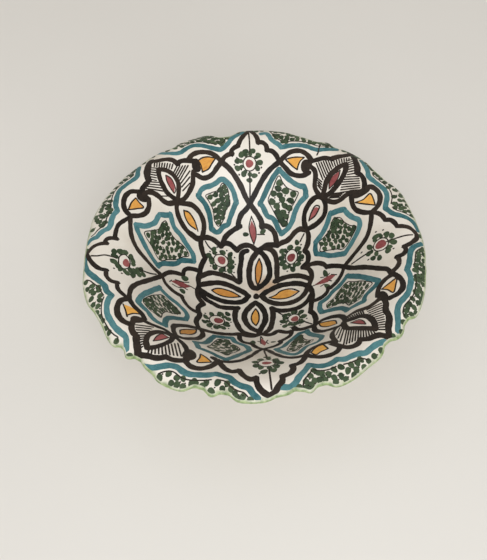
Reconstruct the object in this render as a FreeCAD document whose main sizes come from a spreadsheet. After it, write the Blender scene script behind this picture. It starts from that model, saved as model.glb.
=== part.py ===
import FreeCAD
import Part
import Sketcher

import os
from math import acos, asin, atan2, cos, pi, radians, sin

# A wide painted serving bowl of glazed earthenware, standing on a turned foot ring.
# Millimetres and degrees, +Z up, origin on the table under the middle of the foot.
# The hollow is a sphere that turns outward into a flare, and the flare rolls over
# into a hanging lip whose edge is pressed into broad lobes with a small lobe between.

doc = FreeCAD.newDocument("painted_bowl")

SIZES = [
    ("wall", 6.5, "thickness of the thrown clay"),
    ("foot_lift", 4.0, "height of the bowl's underside over the table"),
    ("bowl_radius", 112.0, "radius of the round hollow"),
    ("wall_slope", 56.5, "steepest slope, where the hollow turns into the flare"),
    ("flare_radius", 92.0, "radius of the flare"),
    ("crown_radius", 129.5, "distance from the axis at which the lip starts to roll over"),
    ("lip_roll", 20.0, "radius of the lip's roll"),
    ("lip_drop", 33.0, "how far the lip rolls past level at a broad lobe"),
    ("lip_spare", 12.0, "how much further it is thrown, before its edge is pressed"),
    ("lip_round", 2.2, "rounding of the pressed edge"),
    ("lobes", 12, "broad lobes round the edge"),
    ("broad_lobe_radius", 46.0, "plan radius of a broad lobe"),
    ("small_lobe_radius", 9.0, "plan radius of a small lobe"),
    ("small_lobe_setback", 1.0, "how far a small lobe stays behind a broad one"),
    ("crease_radius", 5.0, "plan radius of the crease between two lobes"),
    ("press_reach", 20.0, "how far the pressing reaches past the edge"),
    ("foot_radius", 50.0, "outside of the foot where it stands"),
    ("foot_width", 8.0, "width of the foot where it stands"),
    ("foot_batter", 3.0, "how far each side of the foot spreads on its way up"),
    ("foot_round", 1.2, "rounding of the foot's standing edges"),
    ("glaze", 0.5, "thickness of the fired glaze"),
    ("lip_glaze_start", -8.0, "where on the roll the lip's own glaze begins, past level"),
]

# The sphere, the flare and the roll share tangents, so the slopes and the centres of
# the later arcs follow from the earlier ones.
DERIVED = [
    ("slope_sine", "sin(Sizes.wall_slope * 1deg)"),
    ("slope_cosine", "cos(Sizes.wall_slope * 1deg)"),
    ("turn_radius", "Sizes.bowl_radius * slope_sine"),
    ("crown_sine", "slope_sine - (Sizes.crown_radius - turn_radius) / Sizes.flare_radius"),
    ("crown_cosine", "sqrt(1 - crown_sine ^ 2)"),
    ("hollow_height", "Sizes.foot_lift + Sizes.wall + Sizes.bowl_radius"),
    ("flare_reach", "(Sizes.bowl_radius + Sizes.flare_radius) * slope_sine"),
    ("flare_height", "hollow_height - (Sizes.bowl_radius + Sizes.flare_radius) * slope_cosine"),
    ("roll_reach", "Sizes.crown_radius + Sizes.lip_roll * crown_sine"),
    ("roll_height", "flare_height + (Sizes.flare_radius - Sizes.lip_roll) * crown_cosine"),
    ("lip_end", "Sizes.lip_drop + Sizes.lip_spare"),
    ("press_top", "Sizes.lip_roll + Sizes.wall"),
    ("press_lean", "tan(Sizes.lip_drop * 1deg) / roll_reach"),
    ("edge_glaze", "Sizes.glaze / cos(Sizes.lip_drop * 1deg)"),
    ("foot_inside", "Sizes.foot_radius - Sizes.foot_width"),
    ("underside_radius", "Sizes.bowl_radius + Sizes.wall"),
]

ORIGIN = (-1, 1)
LEVEL = -1
UPRIGHT = -2


def fill_sheet(name, rows, prefix=""):
    """Write one named value per row: its name, the value under that alias, and any note."""
    table = doc.addObject("Spreadsheet::Sheet", name)
    for number, (alias, content, *note) in enumerate(rows, start=1):
        table.set(f"A{number}", alias)
        table.set(f"B{number}", prefix + str(content))
        table.setAlias(f"B{number}", alias)
        table.set(f"C{number}", " ".join(note))
    doc.recompute()
    return table


sheet = fill_sheet("Sizes", SIZES)
fill_sheet("Derived", DERIVED, "=")


def value(expression):
    """The number that an expression over the sheets gives."""
    return float(sheet.evalExpression(expression))


def new_sketch(body, name, role):
    """An empty sketch on one of the body's own origin planes."""
    sketch = body.newObject("Sketcher::SketchObject", name)
    plane = next(feature for feature in body.Origin.OriginFeatures if feature.Role == role)
    sketch.AttachmentSupport = (plane, [""])
    sketch.MapMode = "FlatFace"
    return sketch


def tie(sketch, kind, *where):
    """Add a constraint that has no size."""
    sketch.addConstraint(Sketcher.Constraint(kind, *where))


def drive(sketch, name, expression, kind, *where):
    """Add a dimension and bind it to the sheets."""
    size = radians(value(expression)) if kind == "Angle" else value(expression)
    index = sketch.addConstraint(Sketcher.Constraint(kind, *where, size))
    sketch.renameConstraint(index, name)
    sketch.setExpression(f"Constraints.{name}", expression)


def arc(sketch, centre_x, centre_y, radius, first, last):
    """Add an arc by its centre, its radius and the angles it runs between."""
    circle = Part.Circle(FreeCAD.Vector(centre_x, centre_y, 0), FreeCAD.Vector(0, 0, 1), radius)
    return sketch.addGeometry(Part.ArcOfCircle(circle, first, last))


def join(sketch, first, last):
    """Add a straight side between the ends of two curves, fixed to both."""
    side = sketch.addGeometry(Part.LineSegment(sketch.getPoint(*first), sketch.getPoint(*last)))
    tie(sketch, "Coincident", side, 1, *first)
    tie(sketch, "Coincident", side, 2, *last)
    return side


def revolve(body, sketch, name):
    turned = body.newObject("PartDesign::Revolution", name)
    turned.Profile = sketch
    turned.ReferenceAxis = (sketch, ["V_Axis"])
    turned.Angle = 360
    doc.recompute()
    return turned


def soften(body, base, edges, name, radius):
    """Round the edges of a feature that a test on their neighbouring faces picks."""
    names = [f"Edge{number}" for number, edge in enumerate(base.Shape.Edges, start=1)
             if edges(edge, base.Shape.ancestorsOfType(edge, Part.Face))]
    rounded = body.newObject("PartDesign::Fillet", name)
    rounded.Base = (base, names)
    rounded.setExpression("Radius", radius)
    body.Tip = rounded
    doc.recompute()
    return rounded


def wall_layer(sketch, above, below, start, end):
    """Outline of one layer of the wall, from one height to another over the clay's inner face.

    It runs from a distance from the axis, through hollow, flare and roll, to an angle past
    level on the roll. Its upper side is dimensioned and its lower side is concentric.
    """
    slope = radians(value("Sizes.wall_slope"))
    crown = asin(value("Derived.crown_sine"))
    tip = radians(value(end))
    root = asin(value(start) / (value("Sizes.bowl_radius") - value(above)))
    sides = []
    for height in (value(above), value(below)):
        hollow = arc(sketch, 0, value("Derived.hollow_height"), value("Sizes.bowl_radius") - height,
                     root - pi / 2, slope - pi / 2)
        flare = arc(sketch, value("Derived.flare_reach"), value("Derived.flare_height"),
                    value("Sizes.flare_radius") + height, pi / 2 + crown, pi / 2 + slope)
        roll = arc(sketch, value("Derived.roll_reach"), value("Derived.roll_height"),
                   value("Sizes.lip_roll") + height, pi / 2 - tip, pi / 2 + crown)
        tie(sketch, "Tangent", hollow, 2, flare, 2)
        tie(sketch, "Tangent", flare, 1, roll, 2)
        sides.append((hollow, flare, roll))
    upper, lower = sides
    for curve, twin in zip(upper, lower):
        tie(sketch, "Coincident", curve, 3, twin, 3)
    hollow, flare, roll = upper
    inner_end = join(sketch, (hollow, 1), (lower[0], 1))
    outer_end = join(sketch, (roll, 1), (lower[2], 1))
    tie(sketch, "PointOnObject", hollow, 3, UPRIGHT)
    tie(sketch, "PointOnObject", roll, 3, outer_end)
    drive(sketch, "hollow_height", "Derived.hollow_height", "DistanceY", *ORIGIN, hollow, 3)
    drive(sketch, "hollow_radius", f"Sizes.bowl_radius - ({above})", "Radius", hollow)
    drive(sketch, "lower_radius", f"Sizes.bowl_radius - ({below})", "Radius", lower[0])
    drive(sketch, "turn", f"(Sizes.bowl_radius - ({above})) * Derived.slope_sine",
          "DistanceX", *ORIGIN, hollow, 2)
    drive(sketch, "flare_radius", f"Sizes.flare_radius + {above}", "Radius", flare)
    drive(sketch, "crown", f"Sizes.crown_radius - ({above}) * Derived.crown_sine",
          "DistanceX", *ORIGIN, flare, 1)
    drive(sketch, "roll_radius", f"Sizes.lip_roll + {above}", "Radius", roll)
    drive(sketch, "end", f"Derived.roll_reach + (Sizes.lip_roll + {above}) * sin({end} * 1deg)",
          "DistanceX", *ORIGIN, roll, 1)
    if value(start) == 0:
        tie(sketch, "PointOnObject", hollow, 1, UPRIGHT)
        tie(sketch, "PointOnObject", lower[0], 1, UPRIGHT)
    else:
        tie(sketch, "PointOnObject", hollow, 3, inner_end)
        drive(sketch, "start", start, "DistanceX", *ORIGIN, hollow, 1)
    doc.recompute()


def lobe_gap(body, name, height, skin):
    """Outline of what is pressed away between two broad lobes, at a height over the roll's centre.

    The two broad lobes, two creases and the small lobe are arcs that touch. The outline grows
    with height from a point on the axis, so that the pressed edge is square to the lip.
    """
    growth = f"(1 + ({height}) * Derived.press_lean)"
    tip = f"Derived.roll_reach * {growth} + {skin}"
    broad_size = f"Sizes.broad_lobe_radius * {growth} + {skin}"
    small_size = f"Sizes.small_lobe_radius * {growth} + {skin}"
    crease_size = f"Sizes.crease_radius * {growth} - {skin}"
    small_place = f"{tip} - Sizes.small_lobe_setback * {growth} - ({small_size})"
    half = pi / value("Sizes.lobes")
    reach, broad_radius, small_radius = value(tip), value(broad_size), value(small_size)
    crease_radius, small_x = value(crease_size), value(small_place)
    broad_x, broad_y = (reach - broad_radius) * cos(half), (reach - broad_radius) * sin(half)
    span = FreeCAD.Vector(broad_x - small_x, broad_y, 0)
    to_small, to_broad = small_radius + crease_radius, broad_radius + crease_radius
    corner = acos((to_small ** 2 + span.Length ** 2 - to_broad ** 2) / (2 * to_small * span.Length))
    lean = atan2(span.y, span.x) - corner
    crease_x, crease_y = small_x + to_small * cos(lean), to_small * sin(lean)
    turn = atan2(crease_y - broad_y, crease_x - broad_x)

    sketch = new_sketch(body, name, "XY_Plane")
    sketch.setExpression(".AttachmentOffset.Base.z", f"Derived.roll_height + {height}")
    sketch.setExpression(".AttachmentOffset.Rotation.Angle", "180 / Sizes.lobes")
    small = arc(sketch, small_x, 0, small_radius, -lean, lean)
    left_crease = arc(sketch, crease_x, crease_y, crease_radius, pi + turn, pi + lean)
    right_crease = arc(sketch, crease_x, -crease_y, crease_radius, pi - lean, pi - turn)
    left_broad = arc(sketch, broad_x, broad_y, broad_radius, turn, half)
    right_broad = arc(sketch, broad_x, -broad_y, broad_radius, -half, -turn)
    far = reach + value("Sizes.press_reach")
    back = sketch.addGeometry(Part.LineSegment(FreeCAD.Vector(far * cos(half), far * sin(half), 0),
                                               FreeCAD.Vector(far * cos(half), -far * sin(half), 0)))
    left_side = join(sketch, (left_broad, 2), (back, 1))
    right_side = join(sketch, (right_broad, 1), (back, 2))
    tie(sketch, "Tangent", small, 2, left_crease, 2)
    tie(sketch, "Tangent", small, 1, right_crease, 1)
    tie(sketch, "Tangent", left_crease, 1, left_broad, 1)
    tie(sketch, "Tangent", right_crease, 2, right_broad, 2)
    tie(sketch, "Equal", left_broad, right_broad)
    tie(sketch, "Equal", left_crease, right_crease)
    tie(sketch, "PointOnObject", small, 3, LEVEL)
    tie(sketch, "PointOnObject", *ORIGIN, left_side)
    tie(sketch, "PointOnObject", left_broad, 3, left_side)
    tie(sketch, "PointOnObject", right_broad, 3, right_side)
    tie(sketch, "Symmetric", left_side, 1, right_side, 1, LEVEL)
    tie(sketch, "Symmetric", left_side, 2, right_side, 2, LEVEL)
    drive(sketch, "half_step", "180deg / Sizes.lobes", "Angle", LEVEL, 1, left_side, 1)
    drive(sketch, "tip", tip, "Distance", *ORIGIN, left_side, 1)
    drive(sketch, "press_reach", "Sizes.press_reach", "Distance", left_side, 1, left_side, 2)
    drive(sketch, "broad_lobe", broad_size, "Radius", left_broad)
    drive(sketch, "small_lobe", small_size, "Radius", small)
    drive(sketch, "crease", crease_size, "Radius", left_crease)
    drive(sketch, "small_place", small_place, "DistanceX", *ORIGIN, small, 3)
    doc.recompute()
    return sketch


def press_lobes(body, turned, skin):
    """Press the lobes into a turned lip that stands a given skin outside the clay."""
    gap = body.newObject("PartDesign::SubtractiveLoft", "lobe_gap")
    gap.Profile = lobe_gap(body, "gap_below", "0", skin)
    gap.Sections = [lobe_gap(body, "gap_above", "Derived.press_top", skin)]
    gap.Ruled = True
    doc.recompute()
    lobed = body.newObject("PartDesign::PolarPattern", "lobed_edge")
    lobed.Originals = [gap]
    lobed.Axis = (turned.Profile[0], ["V_Axis"])
    lobed.Angle = 360
    lobed.setExpression("Occurrences", "Sizes.lobes")
    body.Tip = lobed
    doc.recompute()
    return lobed


def pressed_edge(edge, faces):
    """True where the pressed edge of the lip meets its upper or lower face."""
    kinds = {face.Surface.TypeId for face in faces}
    return kinds == {"Part::GeomToroid", "Part::GeomBSplineSurface"}


def standing_edge(edge, faces):
    """True for the two rims of the face that the foot stands on."""
    return edge.BoundBox.ZMax < Part.Precision.confusion()


def make_clay_bowl():
    """The thrown body: one wall from the middle of the floor to the pressed edge of the lip."""
    body = doc.addObject("PartDesign::Body", "clay_bowl")
    sketch = new_sketch(body, "wall_profile", "XZ_Plane")
    wall_layer(sketch, "0", "-Sizes.wall", "0", "Derived.lip_end")
    lobed = press_lobes(body, revolve(body, sketch, "thrown_wall"), "0")
    soften(body, lobed, pressed_edge, "soft_edge", "Sizes.lip_round")
    return body


def make_foot_ring():
    """The turned ring that was stuck under the floor: its top follows the bowl's underside."""
    body = doc.addObject("PartDesign::Body", "foot_ring")
    sketch = new_sketch(body, "ring_profile", "XZ_Plane")
    outside, inside = value("Sizes.foot_radius"), value("Derived.foot_inside")
    batter, sphere = value("Sizes.foot_batter"), value("Derived.underside_radius")
    seat = arc(sketch, 0, value("Derived.hollow_height"), sphere,
               asin((inside - batter) / sphere) - pi / 2, asin((outside + batter) / sphere) - pi / 2)
    stand = sketch.addGeometry(Part.LineSegment(FreeCAD.Vector(inside, 0, 0), FreeCAD.Vector(outside, 0, 0)))
    join(sketch, (stand, 1), (seat, 1))
    join(sketch, (stand, 2), (seat, 2))
    tie(sketch, "PointOnObject", seat, 3, UPRIGHT)
    tie(sketch, "PointOnObject", stand, 1, LEVEL)
    tie(sketch, "PointOnObject", stand, 2, LEVEL)
    drive(sketch, "seat_height", "Derived.hollow_height", "DistanceY", *ORIGIN, seat, 3)
    drive(sketch, "seat_radius", "Derived.underside_radius", "Radius", seat)
    drive(sketch, "outside", "Sizes.foot_radius", "DistanceX", *ORIGIN, stand, 2)
    drive(sketch, "inside", "Derived.foot_inside", "DistanceX", *ORIGIN, stand, 1)
    drive(sketch, "outer_seat", "Sizes.foot_radius + Sizes.foot_batter", "DistanceX", *ORIGIN, seat, 2)
    drive(sketch, "inner_seat", "Derived.foot_inside - Sizes.foot_batter", "DistanceX", *ORIGIN, seat, 1)
    doc.recompute()
    soften(body, revolve(body, sketch, "turned_ring"), standing_edge, "worn_edges", "Sizes.foot_round")
    return body


def make_glaze_coat(label, above, below, start):
    """A glaze coat on one face of the wall, out to where the lip's own glaze begins."""
    body = doc.addObject("PartDesign::Body", label)
    sketch = new_sketch(body, "coat_profile", "XZ_Plane")
    wall_layer(sketch, above, below, start, "Sizes.lip_glaze_start")
    revolve(body, sketch, "coat")
    return body


def make_lip_glaze(clay):
    """The lip's own glaze: the lobed lip one skin larger all round, less the clay inside it."""
    body = doc.addObject("PartDesign::Body", "glazed_lip")
    sketch = new_sketch(body, "lip_profile", "XZ_Plane")
    first, last = radians(value("Sizes.lip_glaze_start")), radians(value("Derived.lip_end"))
    upper, lower = "Sizes.lip_roll + Sizes.glaze", "Sizes.lip_roll - Sizes.wall - Sizes.glaze"
    top, bottom = (arc(sketch, value("Derived.roll_reach"), value("Derived.roll_height"), value(radius),
                       pi / 2 - last, pi / 2 - first) for radius in (upper, lower))
    tie(sketch, "Coincident", top, 3, bottom, 3)
    tie(sketch, "PointOnObject", top, 3, join(sketch, (top, 1), (bottom, 1)))
    tie(sketch, "PointOnObject", top, 3, join(sketch, (top, 2), (bottom, 2)))
    drive(sketch, "roll_reach", "Derived.roll_reach", "DistanceX", *ORIGIN, top, 3)
    drive(sketch, "roll_height", "Derived.roll_height", "DistanceY", *ORIGIN, top, 3)
    drive(sketch, "upper_radius", upper, "Radius", top)
    drive(sketch, "lower_radius", lower, "Radius", bottom)
    drive(sketch, "start", f"({upper}) * sin(Sizes.lip_glaze_start * 1deg)", "DistanceX", top, 3, top, 2)
    drive(sketch, "end", f"({upper}) * sin(Derived.lip_end * 1deg)", "DistanceX", top, 3, top, 1)
    doc.recompute()
    lobed = press_lobes(body, revolve(body, sketch, "thrown_lip"), "Derived.edge_glaze")
    soften(body, lobed, pressed_edge, "soft_edge", "Sizes.lip_round + Sizes.glaze")
    coat = doc.addObject("Part::Cut", "lip_glaze")
    coat.Base = body
    coat.Tool = clay
    doc.recompute()
    return coat


clay_bowl = make_clay_bowl()
sub_parts = [
    clay_bowl,
    make_foot_ring(),
    make_glaze_coat("inside_glaze", "Sizes.glaze", "0", "0"),
    make_glaze_coat("outside_glaze", "-Sizes.wall", "-Sizes.wall - Sizes.glaze",
                    "Sizes.foot_radius + Sizes.foot_batter"),
    make_lip_glaze(clay_bowl),
]

for thing in doc.Objects:
    if {"Invalid", "Error"} & set(thing.State):
        raise RuntimeError(f"{thing.Label} failed: {thing.State}")
os.makedirs("parts", exist_ok=True)
for piece in sub_parts:
    if piece.Shape.isNull() or not piece.Shape.isValid():
        raise RuntimeError(f"{piece.Label} has no valid shape")
    piece.Shape.exportStep(f"parts/{piece.Label}.step")
    print(f"{piece.Label}: {len(piece.Shape.Solids)} solid, {piece.Shape.Volume / 1000:.2f} cubic centimetres")
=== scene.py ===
import bmesh
import bpy
import numpy as np
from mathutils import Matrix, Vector


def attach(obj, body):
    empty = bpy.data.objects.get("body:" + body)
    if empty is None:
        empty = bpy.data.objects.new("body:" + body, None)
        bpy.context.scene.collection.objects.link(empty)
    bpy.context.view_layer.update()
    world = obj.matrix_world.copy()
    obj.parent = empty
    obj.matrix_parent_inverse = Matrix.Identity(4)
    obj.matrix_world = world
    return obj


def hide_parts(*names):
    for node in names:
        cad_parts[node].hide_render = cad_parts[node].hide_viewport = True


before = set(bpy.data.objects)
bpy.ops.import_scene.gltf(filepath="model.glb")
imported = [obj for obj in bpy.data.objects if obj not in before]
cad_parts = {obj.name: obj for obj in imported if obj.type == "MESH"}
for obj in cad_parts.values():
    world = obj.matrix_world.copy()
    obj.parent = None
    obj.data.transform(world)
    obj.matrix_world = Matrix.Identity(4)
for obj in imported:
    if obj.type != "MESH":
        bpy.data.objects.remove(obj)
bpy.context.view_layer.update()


# The clay bowl: red earthenware thrown on a wheel, a round hollow that flares out into a rolled lip.
# The lip was pressed into broad lobes by hand while soft, often with a small nub left in a crease.
# It sagged a little in the firing, so the lip stands highest at the back and lowest in front.
WALL, LIP, GLAZE = 6.5, 3.6, 0.5
# Of each arc of the section: its centre's reach and height, its radius, and the sine of its last slope.
HOLLOW_HEIGHT, HOLLOW, HOLLOW_END = 122.5, 112.0, 0.83389
FLARE_REACH, FLARE_HEIGHT, FLARE, FLARE_END = 170.11, 9.905, 92.0, 0.44151
ROLL_REACH, ROLL_HEIGHT, ROLL = 138.33, 74.51, 20.0
STEADY, SAG_SPAN, THIN_SPAN = 100.0, 45.0, 29.5
SAG, TILT = 1.85, 1.6
MOUTH, FULLER, NUB_WIDTH = 148.5, 2.6, 0.36
PRESSES = (
    (8, 1, 5, 0.5), (22, -2.5, 4, 0), (31, 5, 7, 0), (57, 6.5, 6.5, 0.9), (67, 4, 5, 0), (99, 9, 5, 0),
    (111, -3.5, 7, 0), (120.5, 4.5, 2.6, 0), (136, 1.5, 5, 0), (160, -2.5, 8, 0), (196, -2.5, 8, 0),
    (207, 2.5, 6, 0), (221, 4.2, 2, 0), (227.5, 5.2, 2.4, 0), (232.3, 3.2, 3, 0), (248.9, 5.6, 3, 0),
    (257, 4.8, 2.7, 0), (275, 3.6, 4.2, 0), (279.6, 3.5, 2.4, 0), (286.5, 5, 2.9, 0), (307, 3.2, 9, 0),
    (312.5, 4.6, 2.8, 0), (318, 1.5, 3, 0), (323, 5, 2.8, 0), (346, 1, 5, 0.5),
)


def lip_reach(angle):
    """Plan radius of the lip in mm: a circle a little fuller between the axes, less the potter's presses.
    A press is an angle, a depth and a half width in degrees, and the share of it left as a nub."""
    reach = MOUTH + FULLER * np.sin(2 * angle) ** 2
    for middle, depth, half, nub in PRESSES:
        off = ((np.degrees(angle) - middle + 180) % 360 - 180) / half
        reach = reach - depth * (1 / (1 + off**4) - nub * np.exp(-((off / NUB_WIDTH) ** 2)))
    return reach


def hang(angle):
    """How far the lip rolls over, in radians from straight up, for its round edge to end at its reach."""
    return np.arcsin((lip_reach(angle) - ROLL_REACH - LIP / 2 - GLAZE) / (ROLL - LIP / 2))


def sag(radius, angle):
    """How far the wall has sunk, in mm: nothing within the steady radius, then growing with the square of
    the way out, and more in front than at the back."""
    share = np.clip((radius - STEADY) / SAG_SPAN, 0, 1.2) ** 2
    return share * (SAG - TILT * np.sin(angle))


def wall_height(radius, angle, lift):
    """Height in mm of the face that lies lift above the clay's inner face: a hollow sphere arc, then a
    flaring arc, then the arc of the rolled lip, each offset from its own centre. The hollow and the flare
    end where the sine of the wall's slope has come to the value named for them."""
    hollow = HOLLOW_HEIGHT - np.sqrt(np.maximum((HOLLOW - lift) ** 2 - radius**2, 0))
    flare = FLARE_HEIGHT + np.sqrt(np.maximum((FLARE + lift) ** 2 - (FLARE_REACH - radius) ** 2, 0))
    roll = ROLL_HEIGHT + np.sqrt(np.maximum((ROLL + lift) ** 2 - (radius - ROLL_REACH) ** 2, 0))
    height = np.where(radius < (HOLLOW - lift) * HOLLOW_END, hollow, flare)
    height = np.where(radius > ROLL_REACH - (ROLL + lift) * FLARE_END, roll, height)
    return height - sag(radius, angle)


def outer_height(radius, angle, coat):
    """Height in mm of the face that lies coat outside the clay's outer face. The clay is of one thickness
    within the steady radius and thins smoothly from there to the lip."""
    share = np.clip((radius - STEADY) / THIN_SPAN, 0, 1)
    return wall_height(radius, angle, (WALL - LIP) * share**2 * (3 - 2 * share) - WALL - coat)


def merged(mesh):
    """Joins points that lie on each other, so that seams, poles and the tips of strokes are closed."""
    form = bmesh.new()
    form.from_mesh(mesh)
    bmesh.ops.remove_doubles(form, verts=form.verts, dist=1e-7)
    form.to_mesh(mesh)
    form.free()
    mesh.shade_smooth()


def revolved(name, radius, height, angle, edge=None):
    """A mesh from rings of points: rows follow a closed section, columns go once round the axis.
    A row of radius nought is a pole. Edge, if given, is kept as a value at each point."""
    rows, columns = radius.shape
    points = np.stack([radius * np.cos(angle), radius * np.sin(angle), height], -1) * 0.001
    row, column = np.meshgrid(np.arange(rows), np.arange(columns), indexing="ij")
    below, after = (row + 1) % rows, (column + 1) % columns
    corners = [row * columns + column, below * columns + column,
               below * columns + after, row * columns + after]
    off_axis = radius + np.roll(radius, -1, 0) > 1e-6
    mesh = bpy.data.meshes.new(name)
    mesh.from_pydata(points.reshape(-1, 3), [], np.stack(corners, -1)[off_axis])
    if edge is not None:
        mesh.attributes.new("edge", "FLOAT", "POINT").data.foreach_set("value", edge.ravel())
    merged(mesh)
    mesh.set_sharp_from_angle(angle=0.7)
    piece = bpy.data.objects.new(name, mesh)
    bpy.context.collection.objects.link(piece)
    return piece


turn = np.linspace(0, 2 * np.pi, 720, endpoint=False)[None, :]


def spread(inner, outer, rows):
    """Rings of radii from one reach out to another, rows of them, with a point at every turn."""
    return inner + (outer - inner) * np.linspace(0, 1, rows)[:, None] + 0 * turn


def round_edge(coat, rows):
    """Rings of the lip's blunt edge: a half circle across the wall's end, set out by the coat's depth."""
    across, end = np.linspace(0, np.pi, rows)[:, None], hang(turn)
    arm = ROLL - LIP / 2 + (LIP / 2 + coat) * np.cos(across)
    side = (LIP / 2 + coat) * np.sin(across)
    radius = ROLL_REACH + arm * np.sin(end) + side * np.cos(end)
    return radius, ROLL_HEIGHT + arm * np.cos(end) - side * np.sin(end) - sag(radius, turn)


class Shade:
    """A shader socket. Arithmetic on it adds Math nodes, and add() adds any other node to its tree."""

    def __init__(self, tree, socket=None):
        self.tree, self.socket = tree, socket

    def add(self, kind, settings, sockets, out=0):
        node = self.tree.nodes.new("ShaderNode" + kind)
        for key, value in settings.items():
            if key == "stops":
                ramp = node.color_ramp.elements
                while len(ramp) < len(value):
                    ramp.new(1)
                for stop, (place, colour) in zip(ramp, value):
                    stop.position, stop.color = place, colour
            else:
                setattr(node, key, value)
        for key, value in sockets.items():
            if isinstance(value, Shade):
                self.tree.links.new(value.socket, node.inputs[key])
            else:
                node.inputs[key].default_value = value
        return Shade(self.tree, node.outputs[out])

    def math(self, operation, first, second):
        return self.add("Math", {"operation": operation}, {0: first, 1: second})

    def __add__(self, other):
        return self.math("ADD", self, other)

    __radd__ = __add__

    def __sub__(self, other):
        return self.math("SUBTRACT", self, other)

    def __rsub__(self, other):
        return self.math("SUBTRACT", other, self)

    def __mul__(self, other):
        return self.math("MULTIPLY", self, other)

    __rmul__ = __mul__

    def ramp(self, *stops):
        return self.add("ValToRGB", {"stops": stops}, {"Fac": self})

    def noise(self, scale, detail=3.0):
        return self.add("TexNoise", {}, {"Vector": self, "Scale": scale, "Detail": detail})

    def mix(self, first, second):
        return self.add("Mix", {"data_type": "RGBA"}, {0: self, 6: first, 7: second}, out=2)


def fired(red, green, blue):
    """A fired colour written as it looks, 0 to 255, turned into the linear colour that a shader takes."""
    share = np.array([red, green, blue]) / 255
    linear = np.where(share < 0.04045, share / 12.92, ((share + 0.055) / 1.055) ** 2.4)
    return (*linear.tolist(), 1.0)


def new_finish(name):
    """An empty material with its shader, and the piece's own coordinates in metres."""
    material = bpy.data.materials.new(name)
    material.use_nodes = True
    tree = material.node_tree
    shader = tree.nodes["Principled BSDF"]
    place = Shade(tree).add("TexCoord", {}, {}, out=3)
    return material, shader, place


def finish(shader, tone, rough, relief, strength, distance):
    """Links a colour, a roughness and a bump to the shader."""
    tree = shader.id_data
    tree.links.new(tone.socket, shader.inputs["Base Color"])
    tree.links.new(rough.socket, shader.inputs["Roughness"])
    bump = relief.add("Bump", {}, {"Strength": strength, "Distance": distance, "Height": relief})
    tree.links.new(bump.socket, shader.inputs["Normal"])


upper = spread(0.0, ROLL_REACH + ROLL * np.sin(hang(turn)), 56)[:-1]
lower = spread(0.0, ROLL_REACH + (ROLL - LIP) * np.sin(hang(turn)), 56)[-2::-1]
edge, edge_height = round_edge(0.0, 13)
radius = np.concatenate([upper, edge, lower])
height = np.concatenate([wall_height(upper, turn, 0.0), edge_height, outer_height(lower, turn, 0.0)])
clay_bowl = revolved("clay_wall", radius, height, turn)

bare_clay, shader, place = new_finish("bare_clay")
grog = place.noise(900.0, 4.0)
throwing = place.add("TexWave", {"wave_type": "RINGS", "rings_direction": "Z"},
                     {"Vector": place, "Scale": 90.0, "Distortion": 2.0, "Detail": 2.0})
tone = (grog * 0.7 + throwing * 0.3).ramp((0.25, fired(168, 112, 80)), (0.75, fired(205, 152, 116)))
finish(shader, tone, grog * 0.2 + 0.7, grog * 0.5 + throwing * 0.5, 0.35, 0.0006)
clay_bowl.data.materials.append(bare_clay)
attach(clay_bowl, "root")
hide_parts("clay_bowl")


# The foot ring: a thick band of the same clay, turned under the bowl and left bare.
# It keeps its turned shape, so only its finish changes.
foot_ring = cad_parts["foot_ring"]
foot_ring.data.materials.clear()
foot_ring.data.materials.append(bare_clay)


# The outside glaze: a thin cream coat poured over the outer wall, from above the foot to under the lip.
# The clay shows through it a little where it ran thin, and the kiln left it cloudy and pinholed.
def coating(name, span, upper, lower):
    """A closed coat: its section goes out along the upper face and back along the lower one."""
    return revolved(name, np.concatenate([span, span[::-1]]), np.concatenate([upper, lower[::-1]]), turn)


ABOVE_FOOT, UNDER_LIP = 56.0, 134.3
span = spread(ABOVE_FOOT, UNDER_LIP, 60)
outside_glaze = coating("outer_glaze", span, outer_height(span, turn, 0.0), outer_height(span, turn, GLAZE))


def cream(place):
    """The cream coat's colour, roughness and relief: broad warm clouds, finer stains and pinholes, and
    one tan stain on the floor of the hollow, round a point just beside its middle."""
    pool, stain, pinholes = place.noise(14.0, 2.0), place.noise(60.0, 6.0), place.noise(700.0, 2.0)
    warm = (pool * 0.6 + stain * 0.4).ramp((0.3, fired(208, 198, 183)), (0.5, fired(222, 214, 202)),
                                           (0.7, fired(231, 224, 214)))
    specks = pinholes.ramp((0.70, (0, 0, 0, 1)), (0.76, (1, 1, 1, 1)))
    worn = place.add("VectorMath", {"operation": "DISTANCE"}, {0: place, 1: (0.009, 0.011, 0.012)}, out=1)
    worn = (worn * 40.0 + stain * 0.7).ramp((0.55, (1, 1, 1, 1)), (1.0, (0, 0, 0, 1)))
    tone = (worn * 0.75).mix((specks * 0.35).mix(warm, fired(150, 128, 105)), fired(186, 146, 106))
    return tone, stain * 0.2 + 0.28, pool * 0.7 + pinholes * 0.3


cream_glaze, shader, place = new_finish("cream_glaze")
finish(shader, *cream(place), 0.15, 0.0005)
outside_glaze.data.materials.append(cream_glaze)
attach(outside_glaze, "root")
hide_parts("outside_glaze")


# The inside glaze: the same cream coat poured round the whole hollow, up to the start of the lip's roll.
# It is white with tin, so that the painting laid on it stays clear, and fired once with it.
ROLL_START = -0.2
span = spread(0.0, ROLL_REACH + (ROLL + GLAZE) * np.sin(ROLL_START), 64)
inside_glaze = coating("inner_glaze", span, wall_height(span, turn, GLAZE), wall_height(span, turn, 0.0))
inside_glaze.data.materials.append(cream_glaze)
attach(inside_glaze, "root")
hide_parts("inside_glaze")


# The lip glaze: the cream coat over the rolled lip, where a pale copper green has run in from the edge.
# Its section goes out over the roll, round the blunt edge and a little way back underneath.
UNDER_END, EDGE_ROWS, SEAT = -0.25, 17, 0.02


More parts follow.
